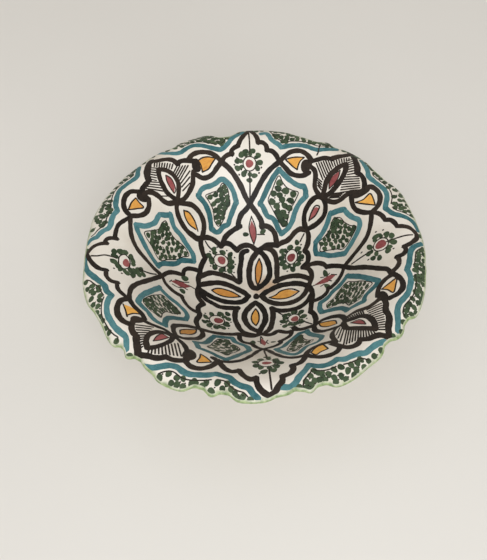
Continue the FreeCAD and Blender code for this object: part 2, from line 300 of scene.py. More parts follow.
def lip_face(coat, rows):
    """Rings of one face of the lip coat: the roll's arc out to its end, round the blunt edge, and back
    under it, all by angles from straight up. The third result is the way along the face past the start
    of the edge, in mm."""
    over, end = np.linspace(0, 1, rows)[:, None], hang(turn)
    out, back = ROLL_START + (end - ROLL_START) * over, end + (UNDER_END - end) * over
    edge, edge_height = (rings[1:-1] for rings in round_edge(coat, EDGE_ROWS))
    upper, lower, bend = ROLL + coat, ROLL - LIP - coat, np.pi * (LIP / 2 + coat)
    radius = [ROLL_REACH + upper * np.sin(out), edge, ROLL_REACH + lower * np.sin(back)]
    height = [ROLL_HEIGHT + upper * np.cos(out), edge_height + sag(edge, turn),
              ROLL_HEIGHT + lower * np.cos(back)]
    past = [upper * (out - end), np.linspace(0, bend, EDGE_ROWS)[1:-1, None] + 0 * end,
            bend + lower * (end - back)]
    radius, height, past = (np.concatenate(rings) for rings in (radius, height, past))
    return radius, height - sag(radius, turn), past


face, under = lip_face(GLAZE, 24), lip_face(SEAT, 24)
radius, height, past = (np.concatenate([near, far[::-1]]) for near, far in zip(face, under))
lip_glaze = revolved("lip_glaze_run", radius, height, turn, edge=past)

green_glaze, shader, place = new_finish("green_glaze")
edge = place.add("Attribute", {"attribute_name": "edge"}, {}, out=2)
run = place.noise(110.0, 5.0)
tone, rough, relief = cream(place)
green = place.noise(300.0, 4.0).ramp((0.35, fired(104, 126, 76)), (0.65, fired(158, 172, 124)))
reach = (edge * 0.16 + run * 1.3).ramp((0.0, (0, 0, 0, 1)), (0.42, (0.18, 0.18, 0.18, 1)),
                                       (0.88, (1, 1, 1, 1)))
finish(shader, reach.mix(tone, green), rough, relief, 0.15, 0.0005)
lip_glaze.data.materials.append(green_glaze)
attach(lip_glaze, "root")
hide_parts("lip_glaze")


# The bold black drawing: manganese black laid on the raw glaze with a full brush about 5 mm wide.
# It makes the four petals and their frame in the middle, the pointed arches, the kites that reach the
# lip, the rings between them and the four palmettes. Each line was drawn freehand, so no two match.
def touched(points, closed, step):
    """A line through the painter's touch points: cubic Hermite spans whose slope at each point is that
    between its two neighbours, sampled about every step. Returns points and distance along the line."""
    path = np.array(points, float)
    if closed:
        path = np.concatenate([path[-2:], path, path[:3]])
    reach = np.concatenate([[0], np.cumsum(np.hypot(*np.diff(path, axis=0).T))])
    slope = np.gradient(path, reach, axis=0)
    first, last = (reach[2], reach[-3]) if closed else (0.0, reach[-1])
    count = max(int((last - first) / step), 4)
    along = np.linspace(first, last, count, endpoint=not closed)
    span = np.clip(np.searchsorted(reach, along, "right") - 1, 0, len(path) - 2)
    size = (reach[span + 1] - reach[span])[:, None]
    t = (along - reach[span])[:, None] / size
    line = ((2 * t**3 - 3 * t**2 + 1) * path[span] + (t**3 - 2 * t**2 + t) * size * slope[span]
            + (3 * t**2 - 2 * t**3) * path[span + 1] + (t**3 - t**2) * size * slope[span + 1])
    return line, along - first


def polar(plan):
    """Radius in mm and angle in radians of points of the plan."""
    return np.hypot(plan[..., 0], plan[..., 1]), np.arctan2(plan[..., 1], plan[..., 0])


def glaze_height(plan, lift):
    """Height in mm, lift above the painted face, over points of the plan."""
    return wall_height(*polar(plan), GLAZE + lift)


def on_glaze(plan, lift):
    """Points in mm on the painted face, lift above it, over points of the plan, which are drawn in
    to where the lip's round edge starts if they lie further out."""
    radius, angle = polar(plan)
    limit = ROLL_REACH + (ROLL + GLAZE) * np.sin(hang(angle)) - 0.1
    plan = plan * np.minimum(1, limit / np.maximum(radius, 1e-6))[..., None]
    return np.concatenate([plan, glaze_height(plan, lift)[..., None]], -1)


def upright(plan):
    """The glaze's outward normals over points of the plan, from its slope along x and along y."""
    east, north = ((glaze_height(plan + step, 0.0) - glaze_height(plan - step, 0.0)) / 0.2
                   for step in (np.array([0.1, 0]), np.array([0, 0.1])))
    normal = np.stack([-east, -north, np.ones_like(east)], -1)
    return normal / np.linalg.norm(normal, axis=-1, keepdims=True)


def stroke(points, width, closed=False):
    """The two edges of a brush stroke: the line set off to both sides by half its width, measured along
    the wall, a little uneven, and at both ends run on into a round tip where the brush was lifted."""
    points = np.array(points, float)
    if not closed:
        tips = points[[0, -1]] - points[[1, -2]]
        tips = points[[0, -1]] + tips / np.linalg.norm(tips, axis=-1, keepdims=True) * width / 2
        points = np.concatenate([tips[:1], points, tips[1:]])
    line, along = touched(points, closed, min(1.3, width / 2))
    seed = line[0] @ (1.7, 2.9)
    half = width / 2 * (1 + 0.05 * np.sin(along / 2.7 + seed) + 0.04 * np.sin(along / 1.1 + 2 * seed))
    if not closed:
        end = np.minimum(along, along[-1] - along) / (width / 2)
        half = half * np.sqrt(1 - (1 - np.minimum(end, 1)) ** 2)
    place = np.concatenate([line, glaze_height(line, 0.0)[:, None]], -1)
    course = np.roll(place, -1, 0) - np.roll(place, 1, 0) if closed else np.gradient(place, axis=0)
    side = np.cross(upright(line), course)
    side = side / np.linalg.norm(side, axis=-1, keepdims=True) * half[:, None]
    return line + side[:, :2], line - side[:, :2], closed


def fill(left, right):
    """The two edges of a filled shape, from its first tip to its last. They change places if the first
    is the right one, which shows in the sign of the area that they enclose."""
    share = np.linspace(0, 1, 14)
    edges = [touched(edge, False, 0.1)[0] for edge in (left, right)]
    left, right = (np.stack([np.interp(share, np.linspace(0, 1, len(edge)), edge[:, axis])
                             for axis in (0, 1)], -1) for edge in edges)
    round_it = np.concatenate([left, right[::-1]])
    ahead = np.roll(round_it, -1, 0)
    area = np.sum(round_it[:, 0] * ahead[:, 1] - round_it[:, 1] * ahead[:, 0])
    return (right, left, False) if area > 0 else (left, right, False)


def dab(x, y, length, width, lean, rows=7):
    """One touch of the brush: an egg of the given length, width and lean in degrees, seen in the plan."""
    share = np.linspace(0, np.pi, rows)[:, None]
    ahead = np.array([np.cos(np.radians(lean)), np.sin(np.radians(lean))])
    spine = (x, y) - ahead * np.cos(share) * length / 2
    side = np.array([-ahead[1], ahead[0]]) * np.sin(share) * (1 + 0.2 * np.cos(share)) * width / 2
    return spine + side, spine - side, False


BAKE_WIDTH = 0.31


def paint(name, strokes, lift, pigment):
    """One piece for all the strokes of a pigment. Across a stroke the colour is a flat lens, six points
    round, its rim just under the glaze; along it the lens is carried from one end to the other. The map
    brush runs across and along each stroke, and the map OFBake is the plan over its width in metres."""
    across = np.array([0, 0.15, 0.5, 0.85, 1, 0.5])
    swell = np.array([-0.02, 0.8, 1.0, 0.8, -0.02, -0.4])
    sides = len(across)
    points, brush, load, faces, start = [], [], [], [], 0
    for number, (left, right, closed) in enumerate(strokes):
        rows = len(left)
        plan = left[:, None] + (right - left)[:, None] * across[:, None]
        fade = np.minimum(np.linalg.norm(right - left, axis=-1) / 0.4, 1)[:, None]
        lens = lift * (1 + 0.02 * (number % 7)) * swell * fade
        points.append(on_glaze(plan, lens).reshape(-1, 3) * 0.001)
        middle = (left + right) / 2
        travel = np.cumsum(np.hypot(*np.diff(middle, axis=0, prepend=middle[:1]).T))[:, None]
        brush.append(np.stack([across + 0 * fade, travel / 100 + 0 * across], -1).reshape(-1, 2))
        load.append(np.full(rows * sides, (number * 0.618) % 1))
        row, column = np.meshgrid(np.arange(rows if closed else rows - 1), np.arange(sides), indexing="ij")
        ahead, after = (row + 1) % rows, (column + 1) % sides
        corners = [row * sides + column, row * sides + after,
                   ahead * sides + after, ahead * sides + column]
        faces.append(np.stack(corners, -1).reshape(-1, 4) + start)
        start += rows * sides
    points, brush = np.concatenate(points), np.concatenate(brush)
    mesh = bpy.data.meshes.new(name)
    mesh.from_pydata(points, [], np.concatenate(faces))
    mesh.attributes.new("load", "FLOAT", "POINT").data.foreach_set("value", np.concatenate(load))
    corner = np.empty(len(mesh.loops), int)
    mesh.loops.foreach_get("vertex_index", corner)
    mesh.uv_layers.new(name="brush").data.foreach_set("uv", brush[corner].ravel())
    flat = points[corner, :2] / BAKE_WIDTH + 0.5
    mesh.uv_layers.new(name="OFBake").data.foreach_set("uv", flat.ravel())
    merged(mesh)
    points = np.empty(len(mesh.vertices) * 3)
    mesh.vertices.foreach_get("co", points)
    mesh.normals_split_custom_set_from_vertices(upright(points.reshape(-1, 3)[:, :2] * 1000))
    mesh.materials.append(pigment)
    piece = bpy.data.objects.new(name, mesh)
    bpy.context.collection.objects.link(piece)
    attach(piece, "root")
    return piece


def pigment(name, thin, full, rough):
    """A painted colour: thin where the brush ran dry, full where it pooled, streaked along the stroke,
    and rubbed a little thinner towards the lip."""
    material, shader, place = new_finish(name)
    run = place.add("UVMap", {"uv_map": "brush"}, {})
    load = place.add("Attribute", {"attribute_name": "load"}, {}, out=2)
    streaks = run.add("Mapping", {}, {"Vector": run, "Scale": (9.0, 22.0, 1.0)}).noise(1.0, 3.0)
    cloud = place.noise(260.0, 4.0)
    rubbed = place.add("VectorMath", {"operation": "LENGTH"}, {0: place}, out=1)
    wash = streaks * 0.45 + cloud * 0.4 + load * 0.25 + rubbed - 0.09
    tone = wash.ramp((0.32, fired(*full)), (0.78, fired(*thin)))
    finish(shader, tone, cloud * 0.2 + rough, streaks * 0.5 + cloud * 0.5, 0.06, 0.0003)
    shader.inputs["Specular IOR Level"].default_value = 0.18
    return material


bold = [stroke(line, 5.8) for line in (
    [(2, 8.5), (8, 12), (13, 17), (15.6, 22.5), (15.9, 28), (15, 34), (12.8, 40), (10, 44), (6.3, 47.5)],
    [(2, 8.5), (-1.5, 9.8), (-4, 15), (-4.8, 24), (-3.6, 32), (-1.4, 38.5), (2, 43.2), (6.3, 47.5)],
    [(6.2, -0.5), (10, 3.2), (15, 5.4), (20, 7.5), (26, 8.7), (32, 8.3), (38, 7.5), (43, 5.6), (51, 0)],
    [(6.2, -0.5), (9, -4.8), (14, -9), (20, -12), (26, -13.5), (32, -13.9), (38, -13), (43, -10.7),
     (47, -7), (51, 0)],
    [(-53, 7), (-46, 10.3), (-40, 12.4), (-34, 13.5), (-28, 12.7), (-22, 10.7), (-16.3, 7.5), (-11, 4.4),
     (-6.8, 0)],
    [(-53, 2), (-47, -1.6), (-42, -4), (-36, -6), (-30, -7.5), (-24, -7.8), (-18, -7.6), (-12.3, -6),
     (-6.8, 0)],
    [(-0.5, -8), (-2.6, -9.6), (-6.5, -13.5), (-10.3, -18.7), (-12.2, -25), (-11.5, -31), (-9.5, -36.6),
     (-6.4, -41.3), (0.5, -46.5)],
    [(-0.5, -8), (3.2, -11.5), (6, -16.7), (7.6, -23), (7.6, -29), (6.4, -34), (4, -39), (0.5, -46.5)],
)]
bold += [stroke(line, 5.5) for line in (
    [(22.7, 14), (22.7, 22), (23.4, 30), (23.3, 36.5), (22.2, 42), (20, 45.5), (16.7, 47.8), (12.5, 49)],
    [(20, 14), (24, 15.2), (30, 16.3), (35, 16.3), (40, 15.4), (45, 13.5), (49, 10.7), (52, 8)],
    [(-5.2, 47.7), (-8.5, 46.9), (-10.8, 44.8), (-11.5, 40), (-12.3, 35), (-13.5, 30), (-13.9, 24),
     (-14, 17)],
    [(-15, 15.8), (-20, 18.7), (-24.2, 20.6), (-30, 22.3), (-36, 23), (-41.3, 23), (-46, 21), (-53, 15.5)],
    [(-17.5, -14.3), (-24, -14.8), (-30, -15.1), (-36, -14.4), (-39.8, -12.4)],
    [(-42.5, -11), (-47, -8.7), (-49.7, -6), (-53, -2)],
    [(-18.7, -14.5), (-20.6, -20.7), (-21, -26), (-20.7, -31), (-19.2, -36), (-17.5, -41.7), (-15, -45.7),
     (-11, -48.7), (-5, -51)],
    [(14.5, -16.5), (20, -20.5), (26, -22.2), (32, -22.8), (38, -22.6), (43, -21), (47, -18.2), (52.5, -11)],
    [(14.5, -16.5), (15.1, -22), (14.7, -28), (13.5, -34), (12, -39.7), (10, -44.5), (6.5, -48)],
    [(-60, 54), (-54, 52.6), (-50, 53.5), (-46, 55.2), (-41, 55.6), (-37, 54.4), (-31, 50.5)],
    [(-31, 51), (-28.5, 53), (-25, 53.8), (-21.5, 53), (-18.5, 50.8), (-15.2, 48)],
    [(-15.2, 48), (-12, 51), (-8, 52.6), (-4, 52.8), (0, 51.3), (3, 48.8), (6.3, 47.3)],
    [(6.3, 47.3), (10, 49.4), (15, 51.5), (20, 51), (25.5, 49.2)],
    [(25.5, 49.4), (30, 51), (35, 51.5), (39, 53.6), (43, 56.4), (48, 57.5), (53, 55)],
    [(53, 60), (54.2, 55), (55.7, 50.5), (55.5, 46), (54.4, 42), (51.2, 37.3)],
    [(51.2, 37.3), (53.7, 33.4), (54, 29.4), (52.8, 25.4), (47.8, 21.9)],
    [(48.5, 21.8), (51.7, 19.9), (54, 16.3), (55.2, 12.2), (54.5, 7.2), (51.2, 0)],
    [(51.2, 0), (53.4, -8), (53.4, -13), (52, -18), (51, -22.3), (50, -27), (48.8, -31.8)],
    [(48.8, -31.8), (51, -36), (51.7, -40.5), (51.7, -45.7), (50.4, -50.5), (48.5, -56)],
    [(0, -49), (4, -51), (8, -52.5), (12, -52), (17.5, -48.5), (21, -50.5), (24.6, -52.5), (29, -53)],
    [(31.8, -48), (33.8, -51.5), (38, -53.3), (42, -53.4), (48, -53.3)],
    [(0, -50.5), (-5, -52.9), (-10.3, -52.9), (-17.5, -49.7), (-22, -50.5), (-28, -51.3),
     (-40, -51.7), (-53, -50.5)],
    [(-47.5, 60), (-48.7, 56), (-50.4, 52), (-50.8, 48), (-50, 44), (-48.9, 40), (-47, 36.6)],
    [(-47, 36.6), (-50.5, 29.4), (-51.8, 25.4), (-52.5, 20.3), (-53.8, 16), (-54.3, 11),
     (-53.8, 6.4), (-55.3, 0)],
    [(-55.2, 0), (-55.5, -4), (-53.8, -9), (-49.8, -14.5)],
    [(-49.8, -14.5), (-52.2, -16.7), (-54.5, -20.7), (-54.5, -24.6), (-53.3, -28.6), (-54, -33), (-55.6, -37),
     (-56, -41.7), (-53.5, -50.5)],
)]
bold += [stroke(line, (5.6, 5.0, 4.7, 4.7)[number // 4]) for number, line in enumerate((
    [(31, 109.5), (24, 106.5), (17, 102), (10, 95.5), (4, 89.5), (-4, 81.5), (-9, 78), (-12, 73),
     (-13.2, 68)],
    [(-25, 111.5), (-19, 107.5), (-13, 101.5), (-8, 95.5), (-4, 89.5), (4, 81), (8, 76.5), (11, 71),
     (11, 67.5)],
    [(-11, 69), (-17, 66), (-22.5, 62.5), (-26.5, 58.7), (-29, 54)],
    [(10.5, 68.2), (16, 67.5), (20.5, 64.5), (23.5, 60), (24.5, 54)],
    [(110, 36), (109.3, 31), (108, 26), (106, 20), (103, 14.5), (97, 9.5), (90, 6), (84, 2.5), (80, -4.5),
     (76, -9), (70, -12.5)],
    [(114, -36), (112, -30), (107, -25.5), (101, -19), (95, -12), (88, -4), (84, 1), (79, 6.3),
     (74, 10), (69, 12.5)],
    [(69.5, 11.5), (67, 16), (63, 19.5), (58, 21.5), (53, 22)],
    [(67.5, -11), (66.5, -15), (62.5, -18.5), (57, -19.8), (52, -19.5)],
    [(-112, 42), (-111.7, 33), (-110.8, 25), (-108.5, 18), (-104.4, 11.5), (-99, 7), (-93, 3), (-86.5, 0.5),
     (-83, -6), (-78.4, -9.8), (-73.3, -12), (-69, -12.7)],
    [(-108, -49), (-108.5, -40), (-107.8, -34), (-104.4, -27), (-99, -19.6), (-94, -12), (-89.4, -4.6),
     (-85.5, 1), (-82, 6.3), (-78, 9.8), (-73, 11.5), (-68.5, 12.3)],
    [(-68, 12.5), (-67, 17.5), (-63.5, 20.8), (-59, 22), (-53, 22)],
    [(-69.5, -13), (-67.5, -17.3), (-64, -22.5), (-60, -25.7), (-54, -27.5)],
    [(33, -106.5), (26, -108), (20, -107), (14, -103), (10.5, -96), (8.5, -89), (6.5, -82), (2, -77),
     (-1.5, -74.5), (-5, -70.5), (-7.6, -66), (-10, -64.7)],
    [(-36, -109), (-26, -109.3), (-17.5, -106), (-12, -100), (-9, -93), (-6, -86), (-3, -80), (2, -76.5),
     (9.6, -73.7), (14.7, -71), (18, -67.3), (17.5, -65)],
    [(18, -65), (23, -62.2), (27, -59), (28.8, -55), (28.5, -52)],
    [(-9, -64.7), (-12, -64), (-16, -61.5), (-17.8, -57.7), (-17.8, -52)],
))]
bold += [stroke(line, (5.0, 4.6, 5.0, 4.1)[number // 6]) for number, line in enumerate((
    [(4, 146), (8, 139.5), (10.5, 133.5), (11.3, 128.5)],
    [(11, 129.3), (15.5, 128.5), (19, 125), (19.6, 121)],
    [(19, 121), (24, 119.8), (28, 116), (30.8, 110)],
    [(3, 146), (-2, 139), (-6, 133), (-9.3, 126.5)],
    [(-8.7, 126.7), (-13, 124.8), (-16, 121.5), (-15.5, 119)],
    [(-15, 119.6), (-20, 118.3), (-24, 115.5), (-26.5, 111)],
    [(111, 35.5), (115.5, 32), (118.5, 27), (119.5, 23.5)],
    [(119.5, 22.8), (124, 20.5), (126.5, 16.5), (128, 11.5)],
    [(128.3, 11.5), (133, 10), (138, 7.5), (141, 4), (143, 0)],
    [(143, 0), (142, -4), (138, -8), (133, -11), (129, -12)],
    [(129.5, -12), (130, -15.5), (127.5, -19.5), (121.2, -20.7)],
    [(122, -21), (122.5, -26), (120, -31), (116, -34), (113.5, -35)],
    [(32.5, -107), (30.5, -112), (27, -116), (20, -118.5)],
    [(20.5, -118.5), (21, -122), (19, -126), (11.5, -129.5)],
    [(11.7, -129.5), (11.5, -133.5), (8, -138), (5, -142), (1, -144.3)],
    [(1, -144.3), (-3, -142), (-6.5, -138), (-8, -133), (-8, -129)],
    [(-8, -129.5), (-12, -130.5), (-16, -128), (-19, -124), (-20.5, -120.3)],
    [(-21, -121), (-26, -121.8), (-31, -118.5), (-34, -113.5), (-36, -108.5)],
    [(-146.5, -2), (-143, -9), (-138.5, -15.5), (-133, -20), (-127.5, -20.8)],
    [(-128.3, -21.5), (-127.5, -27), (-123.5, -31.5), (-118, -32)],
    [(-119, -32.5), (-117.5, -39), (-114, -43), (-108.5, -47)],
    [(-146, -1), (-142, 4), (-136, 7), (-129.5, 8.5)],
    [(-131.5, 9), (-130.5, 12.5), (-127, 15), (-121.8, 15.8)],
    [(-123.8, 16), (-123.2, 24), (-121.5, 31), (-117.5, 36.5), (-112.5, 42)],
))]
bold += [stroke(line, 5.1) for line in (
    [(31.5, 110), (36, 113), (42, 116), (47, 116.4), (53, 115), (58, 111), (62, 105)],
    [(32, 109), (37, 103.5), (41, 99), (47, 95.7), (53, 94), (59, 94.5)],
    [(-26.5, 112.5), (-31, 116.5), (-36, 119), (-43, 119.7), (-50, 118.5), (-54.6, 116), (-58.5, 111.5)],
    [(-26.5, 112), (-31, 107.3), (-35.6, 102), (-40.8, 98.7), (-45.4, 97.4), (-52, 99)],
    [(110, 36), (106, 38), (102, 41), (98, 45.5), (96, 50), (95.2, 60)],
    [(110.5, 36), (116, 39.5), (118.5, 44), (119.3, 50), (117, 57), (113, 61.5), (107, 62.5)],
    [(114, -38), (109, -40), (104.5, -43.5), (101, -49), (99, -56)],
    [(114, -36), (118, -42), (120, -48), (119, -55), (114, -60.5), (106.5, -63)],
    [(32.5, -107), (36, -101), (41, -97.3), (47, -95.3), (57, -95.7)],
    [(33, -106.5), (37, -110.3), (44, -112.6), (51, -112), (57, -109), (60, -104.5)],
    [(-36.5, -108), (-39, -113), (-44, -117), (-51, -118.6), (-57, -116.5), (-61.5, -111)],
    [(-36, -109), (-40.5, -104.5)],
    [(-112, 44), (-116, 47.5), (-117.8, 52.5), (-117.8, 58.8), (-116, 64.6), (-112.5, 68.6), (-105, 70.3)],
    [(-111, 44), (-103.8, 47.3), (-99.8, 50.8), (-97, 56), (-96, 61), (-96.5, 66)],
    [(-109, -47.5), (-114, -50.8), (-116, -56), (-116.3, -62.3), (-114.2, -68.7), (-110.2, -73.3),
     (-104.5, -76)],
    [(-108, -48), (-103.8, -54.8), (-99.8, -58.9), (-96.3, -63.5), (-95, -67)],
)]
bold.append(fill([(51.5, -98), (54, -101.5), (60, -104.5)], [(51.5, -98), (58, -97.5), (60, -104.5)]))
bold += [dab(*blob, rows=13) for blob in (
    (-51, 107, 12, 9, 90), (57, 101, 11, 11, 0), (104, 59, 16, 7.6, 0), (102.5, -58, 12, 8, 90),
    (-58.5, -103, 14, 11, 90), (-101, 66, 12, 9.6, 0), (-100, -69.5, 11, 8, 0), (0.8, -0.5, 7, 6.2, 90),
)]
bold += [stroke(eye, 5.2, closed=True) for eye in (
    [(54, 55), (52.5, 62), (54, 69), (59, 73), (65, 73.8), (70, 70.5), (72.5, 64), (71, 58),
     (65, 55.3), (58, 54.8)],
    [(-71, 71), (-71, 64), (-67, 58), (-60, 53.5), (-52, 52), (-47.5, 60), (-47, 67), (-50, 72.5),
     (-56, 75.3), (-64, 74)],
    [(-52, -52), (-50, -58), (-52, -66), (-57, -75), (-64, -80.5), (-69.5, -79), (-72.5, -72), (-73, -65),
     (-69, -57), (-62, -52)],
    [(49, -55), (48.5, -62), (52, -68), (58, -72.5), (65, -75), (70.5, -70), (71, -63), (69, -56),
     (64, -51.5), (57, -50)],
)]
PALMETTE_BRUSH = 1.12
bold += [stroke(line, PALMETTE_BRUSH * width) for width, line in (
    (4.6, [(-54, 101), (-54.8, 96), (-55.3, 91.5), (-58, 86), (-62, 80), (-66, 75.8), (-71, 73)]),
    (4.6, [(-52, 110.5), (-57, 110), (-62.7, 109.5), (-66.7, 108), (-69.5, 105)]),
    (4.6, [(-70, 106), (-73.4, 108.3), (-78, 109), (-83, 108.5), (-88, 107.3), (-93, 107)]),
    (6.0, [(-94, 108), (-96.3, 104), (-97, 99), (-97.6, 94), (-97.6, 89), (-96.5, 85)]),
    (4.6, [(-95.5, 84.5), (-99.4, 78.3), (-101.7, 74.3), (-102.3, 69)]),
    (4.8, [(-101, 69.5), (-96, 72.5), (-91.8, 72.8), (-87.3, 71.3), (-83.3, 68.8), (-79.7, 68.3),
           (-75.6, 70), (-71, 73)]),
    (4.4, [(-71, 74), (-75, 75), (-79.5, 77), (-83.3, 82.4), (-85.5, 87), (-87, 93.6), (-87, 96.5)]),
    (4.2, [(-87, 97.2), (-81, 97.4), (-75.6, 95.8), (-71.2, 92), (-69, 87.8), (-69, 82), (-70.5, 73.5)]),
    (4.4, [(61, 99), (64.3, 95), (65, 90), (63.9, 85.5), (63.7, 81.5), (65.6, 77), (68.5, 73), (73, 68),
           (77, 64.5), (81, 62), (85.5, 61.3), (90, 62.6), (95, 63.3), (104, 60)]),
    (4.4, [(60, 103.5), (68, 103.5), (74, 103.4), (78.5, 102), (82.5, 100)]),
    (5.0, [(82.5, 101), (88, 101.8), (94, 102.4), (98, 103.8), (102, 106.5)]),
    (5.6, [(102, 106), (103, 100), (103.5, 94), (104, 88), (103.6, 82.5), (103, 80)]),
    (4.4, [(103, 80), (106, 76.5), (107.7, 72), (108, 67.5), (107, 61)]),
    (4.6, [(70, 71.5), (72.5, 77), (74.5, 82), (78, 86.3), (83, 89), (88, 91), (94, 92)]),
    (4.8, [(71, 71), (76, 71), (81, 73), (86, 76.7), (90.3, 81.5), (93, 86.5), (94, 92)]),
    (4.6, [(-102.5, -70), (-103.8, -76), (-103.7, -80), (-102.3, -84), (-99, -88)]),
    (5.5, [(-99.5, -89), (-99, -94), (-98, -99), (-97.5, -104)]),
    (3.6, [(-97, -68.5), (-91, -71.3), (-85, -73), (-79.5, -74.5), (-75.6, -77), (-72, -81)]),
    (4.4, [(-72, -81.5), (-80, -79), (-87, -81.5), (-91, -86.5), (-91.8, -92), (-90.5, -99)]),
    (4.0, [(-72, -82), (-73.5, -88.3), (-77, -92.5), (-81, -95.8), (-86, -98.3), (-90.5, -99)]),
    (4.4, [(-70.5, -82), (-66.2, -86.4), (-63, -91), (-60, -100)]),
    (4.6, [(-60, -110), (-66.7, -110.7), (-71.2, -110), (-76.5, -107)]),
    (4.6, [(-76, -107.3), (-80, -108.4), (-85, -107.8), (-89.5, -106), (-96, -104.5)]),
    (4.2, [(71, -67), (76.5, -64.6), (81, -64), (86, -65), (90, -65), (95, -63), (100, -60)]),
    (4.8, [(102.8, -62), (102.8, -68.5), (101.5, -73), (101, -76)]),
    (5.0, [(101, -76), (102, -80.5), (101.7, -85.5), (100.3, -90), (99, -95), (99, -101)]),
    (4.6, [(57, -101), (61, -104.7), (66, -107), (70, -106.7), (74, -104.2), (76, -100.3)]),
    (4.8, [(76, -101), (82, -101.7), (86.5, -100.3), (91, -99.4), (96, -100.8), (100, -103)]),
    (4.2, [(63, -75.5), (58.5, -81.5), (57, -87.3), (57.2, -93), (58, -97.6)]),
    (5.0, [(69, -72), (68.5, -77), (69, -82), (75, -86.2), (80, -88.7), (85.5, -91), (89.3, -93)]),
    (4.8, [(70, -71), (76, -72.5), (82, -73), (86, -75.5), (88.5, -80), (89.8, -86.4), (89.3, -93)]),
)]

manganese_black = pigment("manganese_black", (52, 42, 34), (14, 10, 8), 0.35)
paint("bold_black_lines", bold, 0.14, manganese_black)


# The fine black drawing, done with a thin pointed brush after the bold lines had dried: the lines inside
# the teal shapes, the outlines of the coloured leaves, flower stalks and rings, and the palmettes' hatching.
INNER_LINES = (
    [(18.5, 86), (22.5, 91), (30.5, 99), (33, 94.5), (37, 90), (42, 86.8), (48, 83), (45, 79.5), (40.5, 75.5),
     (38, 72), (36, 67), (32.5, 64), (29, 68), (25.5, 74), (22, 80)],
    [(-26, 96.5), (-22, 94), (-20.5, 88), (-20, 84.8), (-24, 80.5), (-27, 74), (-28.5, 71), (-33, 67),
     (-36, 70), (-37, 78), (-41, 83), (-43.5, 85), (-38, 88.5), (-31, 91.5)],
    [(78.5, 50), (83.5, 48), (88, 40.5), (92, 35), (96.5, 30.5), (93, 25.5), (84.5, 20), (79, 24), (73, 27),
     (65, 31), (66, 35), (65, 39), (70, 41), (75, 44)],
    [(83, -17), (88, -22.5), (94, -30), (98.5, -38.5), (92, -43), (87, -49), (79, -49), (77, -42),
     (72, -37.3), (63.5, -36), (63.5, -31), (70, -27), (75, -22)],
    [(36.5, -62), (37, -68), (40, -76), (43.5, -80), (40, -84.5), (36, -87), (31, -91), (27, -97),
     (22.5, -95), (21, -86), (24, -78), (29, -69)],
    [(-36, -61), (-28, -61), (-26, -66), (-21, -70.5), (-18.5, -77), (-22, -84), (-26, -92), (-29.5, -98.5),
     (-34, -94.5), (-40, -90), (-45, -86), (-43, -78), (-40.5, -69)],
    [(-84.5, -23), (-78, -27), (-74, -30.5), (-70, -36), (-74, -41), (-80, -44), (-82.5, -50), (-84, -58.5),
     (-88, -56), (-95, -50), (-98, -44), (-95, -37), (-90, -29)],
    [(-82, 53), (-80, 48), (-75, 43.5), (-66, 40), (-62.5, 34), (-68, 30.5), (-74, 25), (-81, 21),
     (-88, 15.5), (-94, 23), (-100, 33), (-94, 38), (-88, 43), (-85, 50)],
)
fine = [stroke(loop, 1.1, closed=True) for loop in INNER_LINES]
